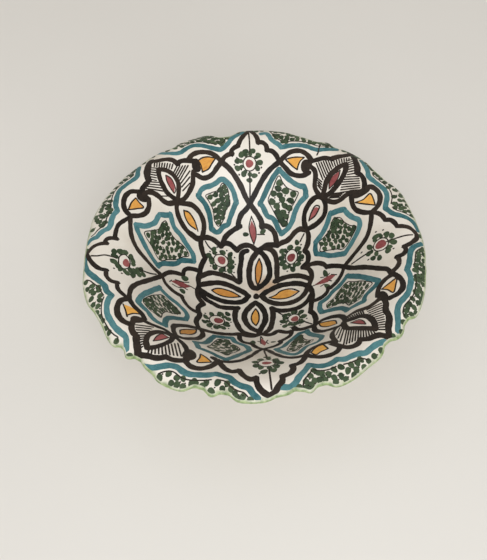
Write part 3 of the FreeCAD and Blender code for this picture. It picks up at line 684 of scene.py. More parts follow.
fine += [stroke(line, 1.6) for line in (
    [(3, 12), (1.7, 17), (1.6, 24), (2.3, 31), (6.4, 39.8)],
    [(3, 12), (6.2, 19), (8, 26), (8.4, 33), (6.4, 39.8)],
    [(13, -3.5), (20, -1.2), (24, 1.9), (30, 2.9), (36, 1.7), (42, -3)],
    [(13, -3.5), (20, -6.1), (28, -7.3), (36, -6.1), (42, -3)],
    [(-42, 3.8), (-38, 6.5), (-34, 7.3), (-28, 6.4), (-22, 4.4), (-14.5, -0.5)],
    [(-42, 3.8), (-38, 1), (-32, -1.2), (-24, -1.8), (-14.5, -0.5)],
    [(-0.8, -15.5), (-4.4, -21.9), (-5.7, -28), (-4.8, -33), (-2, -37.7)],
    [(-0.8, -15.5), (1.2, -20), (1.7, -26), (0.8, -32), (-2, -37.7)],
    [(37, 110.5), (41, 110.9), (47, 110.6), (55.5, 108.6)],
    [(55.5, 108.6), (51, 106), (49, 103), (48, 100)],
    [(37.5, 110), (41, 106.5), (44, 103.3), (48, 100)],
    [(-49, 111.5), (-44.5, 114.4), (-40, 115.5), (-32, 114.9)],
    [(-32, 114.9), (-36, 110), (-39, 105.8), (-45.5, 102)],
    [(-49, 111.5), (-46.5, 107.5), (-45.5, 102)],
    [(98, 52.3), (105, 51.6), (111.3, 54.8), (113.4, 48), (114, 41.5)],
    [(98, 52.3), (104, 48), (114, 41.5)],
    [(103.5, -50), (110, -46.5), (116.5, -43.7), (114.5, -50), (110.5, -57.8), (107.5, -53), (103.5, -50)],
    [(37, -105), (41, -99.7), (47.7, -96.3), (49.3, -100.5), (50.5, -104)],
    [(37, -105), (40.5, -109), (44, -106.5), (50.5, -104)],
    [(-50, -101), (-46, -104.5), (-41.5, -110.5)],
    [(-50, -101), (-50.5, -106.5), (-52.5, -111), (-41.5, -111)],
    [(-107.6, 63.2), (-104.5, 59.5), (-100.8, 56.6), (-106.5, 53), (-113.8, 49.3)],
    [(-107.6, 63.2), (-110.8, 58.5), (-113.8, 49.3)],
    [(-112.3, -54.6), (-110, -60.5), (-108, -68)],
    [(-108, -66.3), (-104, -63.3), (-98.6, -62.3)],
    [(-65.2, 68.8), (-60.5, 69.4), (-56, 66), (-53, 58.5)],
    [(-65.2, 68.8), (-64.2, 64.5), (-61, 61), (-55, 59.3)],
    [(57, 60.7), (59.5, 65.5), (63.5, 68.3), (67, 66), (64, 62.3), (57, 60.7)],
    [(-55.5, -53.5), (-65, -61), (-67.8, -68), (-67, -74.3)],
    [(-55.5, -53.5), (-56, -59), (-60, -67), (-67, -74.3)],
    [(53, -53), (59, -55), (65, -60.5), (64.8, -68)],
    [(53, -53), (53.8, -58.5), (59, -65), (64.8, -68)],
    [(2.3, 143), (2.6, 130), (2.3, 119)],
    [(1.2, 105), (0.8, 95), (0.3, 88)],
    [(2.2, -80), (2.4, -92), (2.2, -105)],
    [(2.6, -117), (2.5, -128), (2.8, -140)],
    [(89, -0.6), (98, -1.6), (105, -2)],
    [(117, -0.3), (128, -0.6), (139, -0.6)],
    [(-142.5, -5), (-136.7, -6), (-130.4, -4.6), (-121, -5)],
    [(-104, -8), (-99.8, -7.5), (-95.2, -5.8), (-90.5, -2)],
    [(51.8, 52.3), (47.5, 47)],
    [(-46.3, 52), (-43.5, 48.3), (-40, 45.5)],
    [(-22.5, 25), (-18.5, 20.5)],
    [(20, -23), (24, -27.5)],
    [(41.5, -42.5), (47.5, -50)],
    [(72.5, 120), (70.5, 115), (69.3, 110.5), (67.8, 108)],
)]
FLOWERS = ((38.2, 35.4, 5.8, 7.1), (-31.8, 36.6, 7.2, 6.2), (-37.8, -33, 6.9, 6.4), (33.4, -35, 5.5, 5.5),
           (1.5, 111.3, 6.5, 5.6), (112.5, -0.5, 6, 6.5), (-115, -6.5, 4.5, 8), (1.5, -112, 7, 5))
ring = np.linspace(0, 2 * np.pi, 9)[:-1]
fine += [stroke(np.stack([x + wide * np.cos(ring), y + deep * np.sin(ring)], -1), 1.2, closed=True)
         for x, y, wide, deep in FLOWERS]


def hatch(first, last, count):
    """Parallel lines of the fine brush: the first and the last are given, the rest lie evenly between."""
    first, last = np.array(first, float), np.array(last, float)
    return [stroke(first + (last - first) * share, 1.5) for share in np.linspace(0, 1, count)]


for first, last, count in (
    ([(-73, 96.5), (-69.5, 103.5)], [(-67.5, 91), (-59, 105.5)], 5),
    ([(-66.8, 88.5), (-57.5, 101)], [(-65.3, 83), (-58, 91)], 3),
    ([(-91, 99.5), (-91, 104.5)], [(-75, 99.5), (-73.5, 104.5)], 8),
    ([(-89, 98), (-94.5, 98)], [(-89, 85.5), (-94.5, 85.5)], 6),
    ([(-86.5, 84.3), (-95.5, 82.6)], [(-82, 77.5), (-98.5, 75.3)], 4),
    ([(66.5, 100.5), (71.5, 84.5)], [(80, 100.5), (82, 92.5)], 7),
    ([(66.3, 88), (70.5, 83)], [(66.5, 82), (69.5, 77)], 4),
    ([(83, 98.5), (84, 93)], [(98, 98.8), (97, 95.5)], 7),
    ([(95.5, 95), (101.5, 97)], [(94, 81), (100, 80)], 7),
    ([(90, 80), (104, 75.5)], [(86, 67.5), (103.5, 62)], 7),
    ([(79, 70), (89, 66)], [(76, 68), (85, 64)], 4),
    ([(-89, -100.5), (-90, -104)], [(-68, -90), (-64.5, -106)], 10),
    ([(-87.5, -75), (-101, -75.8)], [(-93.3, -88), (-99, -89.5)], 6),
    ([(-94, -90.3), (-98.5, -91.8)], [(-94, -97.5), (-97.5, -99.5)], 4),
    ([(69, -84.5), (62.5, -103.5)], [(87, -93.5), (88, -97.5)], 12),
    ([(65, -78), (59.8, -88)], [(67.3, -82.5), (60.8, -98.5)], 3),
    ([(88, -68), (100, -66)], [(91, -94), (97, -95)], 12),
    ([(73.5, -67), (74.5, -72)], [(85, -67), (85, -73)], 8),
):
    fine += hatch(first, last, count)
fine += [stroke(line, 1.2) for line in (
    [(-79.5, 74.2), (-85, 72.4)],
    [(-80.5, 92.5), (-79.5, 87), (-76.5, 82), (-73.3, 78.6)],
    [(-80, 92.5), (-76, 91), (-73, 86.5), (-71.8, 81), (-73.3, 78.6)],
    [(76.5, 75), (77.2, 80.5), (81, 85), (88, 87.3)],
    [(76.5, 75), (82, 77.5), (86, 82), (88, 87.3)],
    [(-75, -84.5), (-81, -81.5), (-84, -85), (-86.5, -91.5)],
    [(-75, -84.5), (-78, -87), (-81.5, -89.5), (-86.5, -91.5)],
    [(73.5, -77), (80.5, -77), (83, -81), (83.5, -85)],
    [(73.5, -77), (78.5, -82), (83.5, -85)],
    [(1, 76.5), (-2, 68), (-1.2, 62), (2, 53.5)],
    [(1, 76.5), (4.4, 68), (4.8, 61), (2, 53.5)],
    [(54, -2), (58.5, -1.8), (62, -0.4)],
    [(62.6, 3.8), (65.6, 2.8)],
    [(68, 1.8), (70.8, 4)],
    [(72, 1.8), (76.4, -1.6)],
    [(61.5, -6), (65, -5)],
    [(69, -3), (71.5, -5.6)],
    [(-79.8, -1.8), (-78, 1.2)],
    [(-75, 3.6), (-70.5, 4), (-66.5, 4.8), (-63, 6.4)],
    [(-64, 2.8), (-61, 2.2), (-57.8, 1)],
    [(-77.5, -3), (-72.5, -3.8), (-68, -1.8), (-64.2, -2.8)],
    [(6, 61.8), (10, 61.4), (13.4, 61)],
    [(1.4, -53.5), (0.8, -58), (0.4, -62)],
    [(1.4, -53.5), (3, -58.5)],
    [(-2, -61.4), (0, -63), (0.6, -66)],
    [(7, -60.8), (5.6, -63.6), (7, -67)],
)]
paint("fine_black_lines", fine, 0.12, manganese_black)


# The teal bands: copper blue-green drawn with a broad soft brush round eight shapes on the wall and in a
# waving line under the lip, where the palmettes' tips break it.
RIM_LINES = (
    [(145.5, 5), (144.5, 11), (142, 16), (138, 19.5), (133, 22.5), (127, 26.5), (124, 31), (121.7, 35)],
    [(121.7, 35), (123, 39), (125, 45), (125.4, 51), (123.5, 57), (120, 62), (115.5, 68.5), (112.7, 73.5),
     (113, 80), (112, 87), (109.5, 96)],
    [(88, 112), (82, 112.2), (75, 112.8), (69, 113.3), (65, 115), (60, 118.2), (54, 120.7), (47, 122),
     (40, 122.2), (34, 121.8)],
    [(34, 121.8), (31, 125.3), (27, 128.3), (24.3, 131.5), (22.5, 136), (20, 140), (14.5, 139.3)],
    [(-3, 143), (-8.5, 139.5), (-14.5, 135), (-18.5, 129.5), (-22.5, 125.5), (-27, 122.7)],
    [(-27, 122.7), (-32, 123.5), (-39, 125), (-47, 126.7), (-54, 126.3), (-60, 122.8), (-65.3, 118)],
    [(-65.3, 118), (-70, 116.5), (-76, 117), (-82.4, 118.3), (-87, 121)],
    [(-106, 101), (-106.6, 94), (-107, 87.3), (-110, 83.5), (-114, 80), (-118, 76), (-122, 71.5),
     (-124, 65.2), (-124.7, 58), (-124.7, 51), (-123, 46)],
    [(-123, 46), (-125.8, 41), (-127.5, 35.2), (-128, 29.4), (-129.8, 24.8), (-133.8, 21.9), (-136.7, 18.5),
     (-139, 14.8)],
    [(-139, 14.8), (-143.5, 13.8), (-147, 10)],
    [(-148, -7), (-146, -16), (-143, -22), (-138.5, -27), (-133.3, -32.3), (-128, -37.5),
     (-126, -43), (-121.5, -47)],
    [(-121.5, -47), (-123.7, -51), (-124.6, -56), (-124.6, -61.2), (-123.5, -66.4), (-120.6, -72),
     (-117, -78), (-112.5, -83), (-107.8, -88), (-107, -93), (-107, -98)],
    [(-93, -113.5), (-88.5, -115), (-84, -115.6), (-79, -115.4), (-74, -115.2), (-67.5, -117), (-63, -121),
     (-58, -123.6), (-52, -124.5), (-44, -125), (-38, -124)],
    [(-38, -124), (-33, -126), (-28, -128), (-25, -132), (-20, -135.5), (-14, -138),
     (-11, -142.5), (-7.5, -145.5)],
    [(10.5, -138.5), (17, -138.7), (20.5, -136.5), (24, -131.5), (29, -126), (33.5, -120)],
    [(33, -119.5), (38, -122), (45, -122.5), (51, -120.5), (55, -117.8)],
    [(55, -117.8), (60, -118.6), (66, -116.5), (71.5, -114.6), (77.4, -114.3), (82, -111),
     (86.4, -108), (94, -105)],
    [(106.5, -96), (108, -88.7), (109, -82), (110, -77), (113, -70.7), (117, -66.7), (121.5, -62),
     (124.5, -56), (127, -49), (127.3, -43), (126.3, -37)],
    [(126.3, -37), (129, -32), (131, -26), (132.5, -21), (136, -15), (140, -12.5), (145, -10)],
)
teal = [stroke(line, 5.0) for line in RIM_LINES]
teal += [stroke(line, 5.4) for line in (
    [(30.5, 103.7), (36, 98), (42, 92.7), (48, 88.3), (53.5, 85.5)],
    [(53.3, 86), (55, 82), (54.5, 78.5)],
    [(55, 78.3), (48, 75.8), (44, 71.5), (41.5, 66.5), (38, 62.5), (30, 58.8)],
    [(30, 58.8), (27, 64), (25, 69), (22, 72.8), (17, 75.3), (14.7, 79), (12.5, 82.7), (10.3, 84.7)],
    [(10.3, 84.7), (13, 87.5), (19, 94), (24, 99), (30.5, 103.7)],
    [(-25.2, 99.2), (-20, 96.5), (-16, 92.3), (-13.6, 86)],
    [(-13.6, 86.5), (-17.7, 79.8), (-21, 74), (-23, 69.7), (-28, 67.3), (-32, 63), (-35, 61.7), (-39.6, 64)],
    [(-39.8, 63.5), (-40.2, 69), (-41, 74), (-44.2, 79.6), (-50.6, 83.4)],
    [(-50.6, 83.4), (-47.7, 88.3), (-44.5, 90.7), (-38.5, 93), (-32, 96.3), (-28, 98.9), (-25.2, 99.2)],
    [(76, 55.3), (82, 54), (88.2, 51.8)],
    [(88, 52), (91, 46), (95, 40), (99.3, 34.5), (99.5, 30.5), (98, 26.5), (94, 21.5), (85.5, 14.5)],
    [(85.5, 14.5), (80, 17.7), (73, 21.5), (67, 26.5), (61.5, 29.7)],
    [(61.5, 29.5), (61, 34), (62, 40.5)],
    [(62, 40.5), (69, 45.5), (73, 50), (76, 55.5)],
    [(84, -10), (89, -16), (94, -24), (98, -31), (103.5, -38.5)],
    [(103.5, -38.5), (101, -42), (96, -45.5), (91, -49.3), (88.5, -55.3)],
    [(88.5, -55.3), (82, -54.8), (76, -55)],
    [(76, -55), (75, -51), (73, -46), (68, -42), (58, -38.6)],
    [(58, -38.6), (57, -33), (58.5, -25.5)],
    [(58.5, -25.5), (66, -22.5), (70, -18.8), (77, -15.5), (84, -10)],
    [(35, -59), (42, -58.3)],
    [(41.5, -58.3), (43, -64), (46, -70), (49, -76), (50, -82)],
    [(50, -82), (47.5, -87), (43, -89.7), (36.5, -91), (33, -95), (29, -100.5), (25, -103)],
    [(25, -103), (20.5, -100.5), (17, -94), (15, -87), (12.7, -79.5)],
    [(12.7, -79.5), (19, -76.5), (23, -71), (28, -66), (35, -59)],
    [(-40, -57.3), (-33, -57), (-24.5, -56.6)],
    [(-24.5, -57), (-22, -63), (-17, -66.5), (-12.5, -70), (-10.3, -78)],
    [(-10.3, -78), (-13, -82), (-17, -88), (-20, -95), (-24, -101), (-30, -106)],
    [(-30, -106), (-36, -102), (-41, -97.5), (-47, -93.7), (-52, -91.5)],
    [(-52, -91.5), (-53, -87), (-55, -82)],
    [(-55, -82), (-50, -79), (-47, -74), (-45, -69), (-43, -63), (-40, -57.3)],
    [(-87, -15), (-90.6, -21.3), (-94, -28.3), (-97.5, -34.6), (-100.4, -41.5), (-101.5, -48)],
    [(-101.5, -48), (-98, -52), (-93.4, -56.5), (-90, -62.3), (-86.5, -65.8), (-79, -68.7)],
    [(-79, -68.7), (-79.6, -62.3), (-78.4, -54.8), (-75.6, -49.6), (-71.5, -46.2), (-65, -42.5)],
    [(-65, -42.5), (-63.8, -37), (-65.5, -31.7), (-69.2, -27.7), (-73.3, -24.2), (-78.4, -21.9), (-87, -16)],
    [(-77.5, 60), (-82, 57.7), (-87, 55.8)],
    [(-87, 55.8), (-88.8, 52.5), (-91, 47.3), (-95.2, 42.7), (-99.8, 39), (-107, 36.8)],
    [(-107, 36.8), (-106, 32.3), (-103.8, 27.7), (-101, 22.5), (-97, 16.1), (-93, 11.5), (-89.5, 8.5)],
    [(-89.5, 8.5), (-84.8, 14.4), (-79, 17.9), (-73.8, 21.3), (-69.8, 26), (-64.6, 28.3), (-58, 30)],
    [(-58, 30), (-58.5, 36), (-61, 39.8), (-65.2, 44.4), (-69.2, 49), (-74.4, 51.9), (-77.5, 60)],
)]
copper_teal = pigment("copper_teal", (84, 130, 134), (18, 74, 80), 0.3)
paint("teal_bands", teal, 0.10, copper_teal)


# The thin line along the dotted band under the lip: the fine brush again, waving along the teal line.
# Where the band ends, beside a kite or a palmette, the line turns out to the lip and stops there.
def beside(line, step):
    """Points about every step along a rim line, and from each the direction square to it towards the lip."""
    course = touched(line, False, step)[0]
    ahead = np.gradient(course, axis=0)
    out = np.stack([ahead[:, 1], -ahead[:, 0]], -1) / np.hypot(*ahead.T)[:, None]
    return course, out * np.sign(np.sum(out * course))


NARROWEST, OFF_TEAL, SHORT_OF_LIP = 10.0, 4.5, 0.975
edging = []
for line in RIM_LINES:
    course, out = beside(line, 2.0)
    radius, angle = polar(course)
    lip = (lip_reach(angle) / radius)[:, None] * course
    band = np.flatnonzero(np.hypot(*(lip - course).T) > NARROWEST)
    if len(band) > 4:
        first, last = band[0], band[-1]
        thin = (course + out * OFF_TEAL)[first:last + 1:2]
        start = [lip[first] * SHORT_OF_LIP, thin[0]] if first > 0 else []
        stop = [thin[-1], lip[last] * SHORT_OF_LIP] if last < len(course) - 1 else []
        edging.append(stroke([*start, *thin[1:-1], *stop], 1.2))
paint("band_edge_line", edging, 0.13, manganese_black)


# The green dabs: copper green set down in single touches of a small brush, as the leaves of the flowers
# and as close scales that fill the teal shapes and the band along the lip, with black specks between.
def inside(points, loop):
    """Whether points lie in a closed outline, by counting the outline's crossings to their right."""
    here, there = np.array(loop, float), np.roll(np.array(loop, float), -1, 0)
    x, y = points[:, :1], points[:, 1:]
    rise = np.where(there[:, 1] == here[:, 1], 1e-9, there[:, 1] - here[:, 1])
    crosses = (here[:, 1] > y) != (there[:, 1] > y)
    return (crosses & (x < here[:, 0] + (y - here[:, 1]) / rise * (there[:, 0] - here[:, 0]))).sum(1) % 2 == 1


def settled(plan, count):
    """Evenly spread places for a count of dabs: the first points of the plan, each moved ten times to the
    middle of all those points that lie nearest to it, measured on the wall."""
    place = on_glaze(plan, 0.0)
    middle = place[:count]
    for _ in range(10):
        nearest = np.argmin(np.linalg.norm(place[:, None] - middle, axis=-1), axis=1)
        own = (nearest == np.arange(count)[:, None]).astype(float)
        middle = own @ place / own.sum(1, keepdims=True)
    return middle[:, :2]


def leaf(x, y, length, width, lean):
    """A dab whose length and width are true along the wall, so that the plan shortens it down the slope."""
    left, right, closed = dab(x, y, length, width, lean)
    middle = np.array([x, y], float)
    out, short = middle / np.hypot(x, y), 1 - upright(middle)[2]
    left, right = (edge - ((edge - middle) @ out)[:, None] * out * short for edge in (left, right))
    return left, right, closed


hand = np.random.default_rng(7)
leaves, spots = [], []
# For each teal shape, the count of its scales and their length and width in mm.
SCALES = ((18, 7.4, 6.8), (21, 6.4, 5.6), (36, 5.6, 4.9), (42, 5.4, 4.8), (15, 5.8, 7.6), (22, 5.8, 7.6),
          (42, 5.3, 4.7), (48, 5.4, 4.8))
for loop, (count, length, width) in zip(INNER_LINES, SCALES):
    close = hand.uniform(np.min(loop, 0), np.max(loop, 0), (2600, 2))
    close = settled(close[inside(close, loop)], count)
    spots.append(close)
    lean = np.degrees(polar(close)[1]) + 90 + hand.normal(0, 22, len(close))
    leaves += [leaf(x, y, length * hand.uniform(0.94, 1.1), width * hand.uniform(0.92, 1.06), tilt)
               for (x, y), tilt in zip(close, lean)]

teal_course = np.concatenate([touched(line, False, 1.0)[0] for line in RIM_LINES])


def in_band(points, off_teal, off_lip):
    """Whether points lie between the teal line and the lip, at least the given ways from each."""
    (radius, angle), (line_radius, line_angle) = polar(points), polar(teal_course)
    line = np.interp(angle, line_angle, line_radius, period=2 * np.pi)
    gap = np.min(np.linalg.norm(points[:, None] - teal_course, axis=-1), axis=1)
    return (radius > line) & (gap > off_teal) & (radius < lip_reach(angle) - off_lip)


TRIES, BAND_FROM, BAND_TO = 9000, 122, 150
way, reach = hand.uniform(0, 2 * np.pi, TRIES), hand.uniform(BAND_FROM, BAND_TO, TRIES)
band = np.stack([reach * np.cos(way), reach * np.sin(way)], -1)
band = band[in_band(band, 4.2, -0.5)]
band = settled(band, len(band) // 9)
spots.append(band)
lean = np.degrees(polar(band)[1]) + hand.normal(0, 30, len(band))
leaves += [leaf(x, y, hand.uniform(5.4, 6.6), hand.uniform(4.5, 5.3), tilt)
           for (x, y), tilt in zip(band, lean)]
spots = np.concatenate(spots)
gaps = spots + hand.normal(0, 0.4, spots.shape) + (2.6, 1.9)
kept = in_band(gaps, 5.4, 2.6) | np.any([inside(gaps, loop) for loop in INNER_LINES], axis=0)
specks = [dab(x, y, 1.5, 1.2, 0, rows=5) for x, y in gaps[kept]]

LEAVES = (
    (5, 121.5), (10.5, 117.5), (11.5, 111.5), (9, 107.5), (6, 102.3), (0.5, 99.5), (-2, 121.3),
    (-6.3, 118.8), (-10.5, 113.6), (-10.8, 108), (-5, 103.8), (118.3, 8), (122, 4), (103.6, 3.4),
    (104.4, -10.4), (116.5, -10.4), (109, -13.5), (122.3, -4), (102, -3), (12, -113), (8, -117.5),
    (2.5, -102), (6, -122), (-7, -110), (-7, -115.5), (-3, -106), (-1.5, -123), (-123.5, -2.3),
    (-123.2, -9.2), (-119.4, -13.3), (-112.5, -17.9), (-106.7, -12.7), (-102, -7.5), (-108.5, -1.7),
    (-118.8, 3.4), (-114.8, 4), (-110.2, 1.7), (-123.5, 1.7), (37.4, 44.9), (44.5, 47.3), (47.3, 32.6),
    (44.1, 26.6), (38.2, 23), (31, 27.4), (28.6, 31.8), (28.6, 36.6), (-38.2, 46.5), (-30.2, 44.9),
    (-22.3, 43.7), (-21.5, 37), (-21.5, 31.4), (-23.8, 27.4), (-31.8, 27.4), (-38.2, 29.4), (-40.9, 35.8),
    (-43.7, 39.7), (-42.5, -25.8), (-34.2, -23.4), (-27.8, -22.7), (-27.4, -29.4), (-48, -30.6),
    (-49.3, -37.8), (-44.9, -42.1), (-38.9, -42.9), (-32.6, -42.1), (-28.6, -37.8), (25.8, -28.6),
    (25.8, -31.8), (23, -36.2), (24.6, -42.9), (32.6, -43.3), (40.9, -28.6), (33.8, -27), (-68.7, -6.3),
    (-109.5, -13.5), (-104.5, -9.5), (-107.5, -18), (-103, -14), (-100, -11.5),
)
leaves += [leaf(x, y, hand.uniform(6, 7.2), hand.uniform(5, 5.8), hand.uniform(0, 180)) for x, y in LEAVES]
for x, y, wide, deep in FLOWERS:
    turns = np.linspace(0, 2 * np.pi, 10)[:-1] + hand.normal(0, 0.12, 9)
    leaves += [leaf(x + (wide + 2.6) * np.cos(way), y + (deep + 2.4) * np.sin(way), hand.uniform(4.8, 6.2),
                    hand.uniform(4.0, 4.8), np.degrees(way) + hand.normal(0, 20)) for way in turns]
leaves += [dab(*touch) for touch in (
    (110.8, 10, 8, 5, 0), (9, -110, 8, 6, 90), (29.8, 43.3, 6.5, 5, 0), (44.9, 41, 7, 5, 0),
    (39.3, -42.5, 7, 5, 0), (42.5, -35.4, 6, 6, 0), (67.2, 6.2, 8.5, 4.2, 100), (67, -8.8, 8, 4, 120),
    (-66.4, 9.2, 7, 6, 30), (-5.6, 62.3, 6.4, 3.8, 0), (11.8, 63.6, 6.5, 4.4, 20),
    (-6.4, -63, 6.5, 5.2, 90), (11.6, -64.8, 5, 2.4, 0),
)]
SPECKS = (
    (-13.6, 110.5), (-7, 107), (-10.8, 116), (-9.3, 103.3), (10.5, 103.8), (13, 107.5), (97.5, 3),
    (116.5, 13.3), (110.8, 14.7), (120.9, -10.4), (101, -9), (-5, -125), (-122.3, -17), (-116, -20.2),
    (-107.6, -21), (-125.5, -8), (33, 22.3), (48.5, 28.8), (35, 27), (48.3, 43.9), (-25.6, 47.1),
    (-18.1, 41.1), (-17.9, 34.4), (-19.5, 26), (-27.4, 26.6), (-28.2, 30.2), (-42.1, 43.7), (-38.7, 42.3),
    (-35.8, 43.9), (-35, 48.9), (-42.1, 29.8), (-48.3, -26.2), (-46.1, -35.4), (-42.5, -46.5),
    (-27.4, -42.7), (-25, -33.4), (-28.8, -27.8), (37.4, -46.5), (29, -46.3), (44.5, -39.7),
    (25.8, -39.7), (21, -39.7),
)
specks += [dab(x, y, 1.9, 1.6, 0, rows=5) for x, y in SPECKS]

copper_green = pigment("copper_green", (72, 88, 62), (22, 37, 24), 0.3)
paint("green_dabs", leaves, 0.11, copper_green)
paint("black_specks", specks, 0.15, manganese_black)


# The ochre fills: iron yellow in the petals' leaves, in the rings' triangles and in three of the eyes.
# Each was laid in with one or two strokes of a soft brush inside its fine black outline.
ochre = [fill(*edges) for edges in (
    ([(3, 13), (1.9, 22), (2.4, 31), (6.3, 39)], [(3, 13), (7, 22), (8.2, 31), (6.3, 39)]),
    ([(14.5, -3.5), (22, 0.6), (30, 2.4), (41, -2.8)], [(14.5, -3.5), (21, -6), (30, -6.8), (41, -2.8)]),
    ([(-41, 3.8), (-35, 6.9), (-27, 5.8), (-15.5, -0.3)],
     [(-41, 3.8), (-36, 0.3), (-27, -1.4), (-15.5, -0.3)]),
    ([(-0.8, -16.5), (1.2, -23), (0.9, -31), (-2, -37)], [(-0.8, -16.5), (-4.9, -23), (-5, -31), (-2, -37)]),
    ([(39, 110.3), (47, 110.3), (54.8, 108.4)],
     [(39, 110.3), (43, 104.5), (47.5, 100.8), (49.5, 104.5), (54.8, 108.4)]),
    ([(-48.3, 111.3), (-41, 115), (-33, 114.6)],
     [(-48.3, 111.3), (-45.4, 103), (-39.5, 105.8), (-33, 114.6)]),
    ([(99, 51.8), (106, 51.8), (111.2, 54), (113.6, 42.2)], [(99, 51.8), (105, 47.6), (113.6, 42.2)]),
    ([(104.5, -50), (110, -47), (115.8, -44.3)], [(104.5, -50), (108, -53), (110.6, -57), (115.8, -44.3)]),
    ([(37.8, -105), (42, -99), (47.5, -96.8), (50, -104)],
     [(37.8, -105), (40.8, -109.3), (44, -107), (50, -104)]),
    ([(-49.8, -101.8), (-46, -105), (-42.3, -110.5)], [(-49.8, -101.8), (-52, -110.5), (-42.3, -110.5)]),
    ([(-107.6, 62.6), (-104, 59), (-101.6, 56.6), (-113.2, 50)],
     [(-107.6, 62.6), (-110.3, 58), (-113.2, 50)]),
    ([(-112, -55), (-106, -56.5), (-99.5, -61.8)],
     [(-112, -55), (-107.8, -65.8), (-103.5, -63.2), (-99.5, -61.8)]),
    ([(-64.7, 68.4), (-60, 68.9), (-56.5, 65.5), (-53.7, 59)],
     [(-64.7, 68.4), (-63, 63.5), (-60, 60.5), (-53.7, 59)]),
    ([(-56, -54.3), (-56.5, -59), (-60.5, -67), (-66.8, -73.8)],
     [(-56, -54.3), (-65, -61.5), (-67.3, -68), (-66.8, -73.8)]),
    ([(53.5, -53.5), (54.3, -59), (59, -64.5), (64.5, -67.5)],
     [(53.5, -53.5), (59, -55.5), (64.5, -61), (64.5, -67.5)]),
)]
iron_yellow = pigment("iron_yellow", (238, 178, 84), (190, 126, 62), 0.28)
paint("ochre_fills", ochre, 0.09, iron_yellow)


# The red fills: iron red in the flowers' hearts, the leaves of the palmettes and arches, and one eye.
# It is a thin wash over the glaze, laid in with the same soft brush as the ochre.
red = [dab(*touch) for touch in (
    (38, 35, 8.4, 8, 30), (-31, 37.4, 8.2, 8, 40), (-36.2, -33, 9, 7.6, 12), (34.2, -35.8, 7.4, 7, 60),
    (1.5, 111.3, 8, 6.4, 0), (112.5, -0.5, 9, 9, -40), (-113.5, -7, 9, 5.4, 90), (1.5, -112, 8, 4.4, 0),
)]
red += [fill(*edges) for edges in (
    ([(1, 73.5), (-1.4, 68), (-0.8, 62), (2, 54)], [(1, 73.5), (3.8, 68), (4.4, 61), (2, 54)]),
    ([(55, -1.9), (61, 0.3), (68, 1.9), (72, 1.6), (76, -1.2)],
     [(55, -1.9), (62, -3.4), (68, -4.6), (76, -1.2)]),
    ([(-79, -0.4), (-74, 3.4), (-69, 4), (-61, 2.2)], [(-79, -0.4), (-74, -1.2), (-69, -2.6), (-61, 2.2)]),
    ([(1.3, -57), (4, -61), (5.2, -66), (3.4, -70)], [(1.3, -57), (0.2, -61), (0.8, -66), (3.4, -70)]),
    ([(-80, 92), (-79.5, 87), (-77, 82.5), (-73.3, 79)],
     [(-80, 92), (-75.5, 90.3), (-72.4, 85), (-73.3, 79)]),
    ([(76.8, 75.6), (77.4, 80), (81, 84.3), (87, 86.5)], [(76.8, 75.6), (82, 78), (85.5, 82), (87, 86.5)]),
    ([(-75.6, -84.6), (-79, -87.5), (-82, -89.6), (-86, -90.8)],
     [(-75.6, -84.6), (-80.8, -82), (-83.6, -85), (-86, -90.8)]),
    ([(74.2, -77.4), (80, -77.6), (82.6, -81), (83, -84.4)], [(74.2, -77.4), (78.4, -81.5), (83, -84.4)]),
    ([(57.6, 61.2), (60, 65.2), (63.5, 67.4), (66.4, 65.4)],
     [(57.6, 61.2), (61, 61.6), (64, 62.8), (66.4, 65.4)]),
)]
iron_red = pigment("iron_red", (166, 94, 92), (108, 46, 48), 0.3)
paint("red_fills", red, 0.09, iron_red)


# The studio: a pale floor of painted board that sweeps up behind the bowl, with no seam in sight.
# A broad window light stands in front, a soft light hangs above, and a plain sky fills the shadows.
def sweep(depth, rise, bend):
    """A floor profile carried sideways: flat, a quarter circle of the given bend, then upright."""
    quarter = np.linspace(0, np.pi / 2, 24)
    across = np.concatenate([[-depth], depth - bend + bend * np.sin(quarter), [depth]])
    upward = np.concatenate([[0], bend - bend * np.cos(quarter), [rise]])
    return across, upward


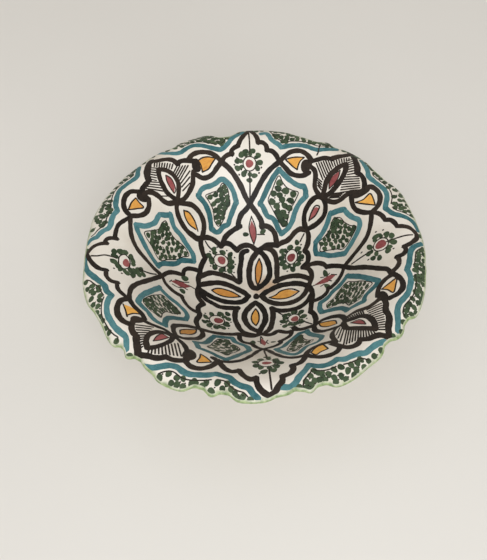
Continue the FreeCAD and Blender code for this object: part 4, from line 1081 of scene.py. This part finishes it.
across, upward = sweep(2.2, 2.0, 1.0)
points = np.stack([np.stack([np.full_like(across, x), across, upward], -1) for x in (-3.0, 3.0)])
steps = np.arange(len(across) - 1)
faces = np.stack([steps, steps + len(across), steps + len(across) + 1, steps + 1], -1)
mesh = bpy.data.meshes.new("studio_floor")
mesh.from_pydata(points.reshape(-1, 3), [], faces)
mesh.shade_smooth()
studio_floor = bpy.data.objects.new("studio_floor", mesh)
bpy.context.collection.objects.link(studio_floor)
pale, shader, place = new_finish("pale_floor")
cloud = place.noise(1.5, 2.0)
tone = cloud.ramp((0.3, fired(218, 214, 208)), (0.7, fired(224, 220, 214)))
finish(shader, tone, cloud * 0.1 + 0.7, cloud, 0.02, 0.001)
mesh.materials.append(pale)

for name, place_m, size, power in (("ceiling_light", (-0.3, 0.2, 2.0), 1.8, 4.0),
                                   ("window_light", (0.15, -2.15, 1.35), 2.2, 54.0)):
    lamp = bpy.data.lights.new(name, "AREA")
    lamp.size, lamp.energy, lamp.color = size, power, (0.92, 0.96, 1.0)
    stand = bpy.data.objects.new(name, lamp)
    stand.location = place_m
    stand.rotation_euler = (-Vector(place_m)).to_track_quat("-Z", "Y").to_euler()
    bpy.context.collection.objects.link(stand)
world = bpy.data.worlds.new("studio")
bpy.context.scene.world = world
world.use_nodes = True
world.node_tree.nodes["Background"].inputs["Color"].default_value = (1.0, 0.97, 0.92, 1.0)
world.node_tree.nodes["Background"].inputs["Strength"].default_value = 0.62


# The camera: held in front of the bowl and well above it, looking down into the hollow.
# The picture was cropped off centre, so the lens is shifted a little to match it.
FOCAL_PIXELS, HIGH_PIXELS = 657, 560
RIGHT_PIXELS, UP_PIXELS = -11.95, -38.6
CAMERA_PLACE, CAMERA_AIM = (-0.0239, -0.3615, 0.5393), (0, 0, 0.0949)
lens = bpy.data.cameras.new("camera")
lens.sensor_width, lens.lens = 36.0, FOCAL_PIXELS * 36 / HIGH_PIXELS
lens.shift_x, lens.shift_y = RIGHT_PIXELS / HIGH_PIXELS, UP_PIXELS / HIGH_PIXELS
lens.clip_start = 0.01
camera = bpy.data.objects.new("camera", lens)
camera.location = CAMERA_PLACE
aim = Vector(CAMERA_AIM) - camera.location
camera.rotation_euler = aim.to_track_quat("-Z", "Y").to_euler()
bpy.context.collection.objects.link(camera)
bpy.context.scene.camera = camera
bpy.context.scene.view_settings.view_transform = "Standard"
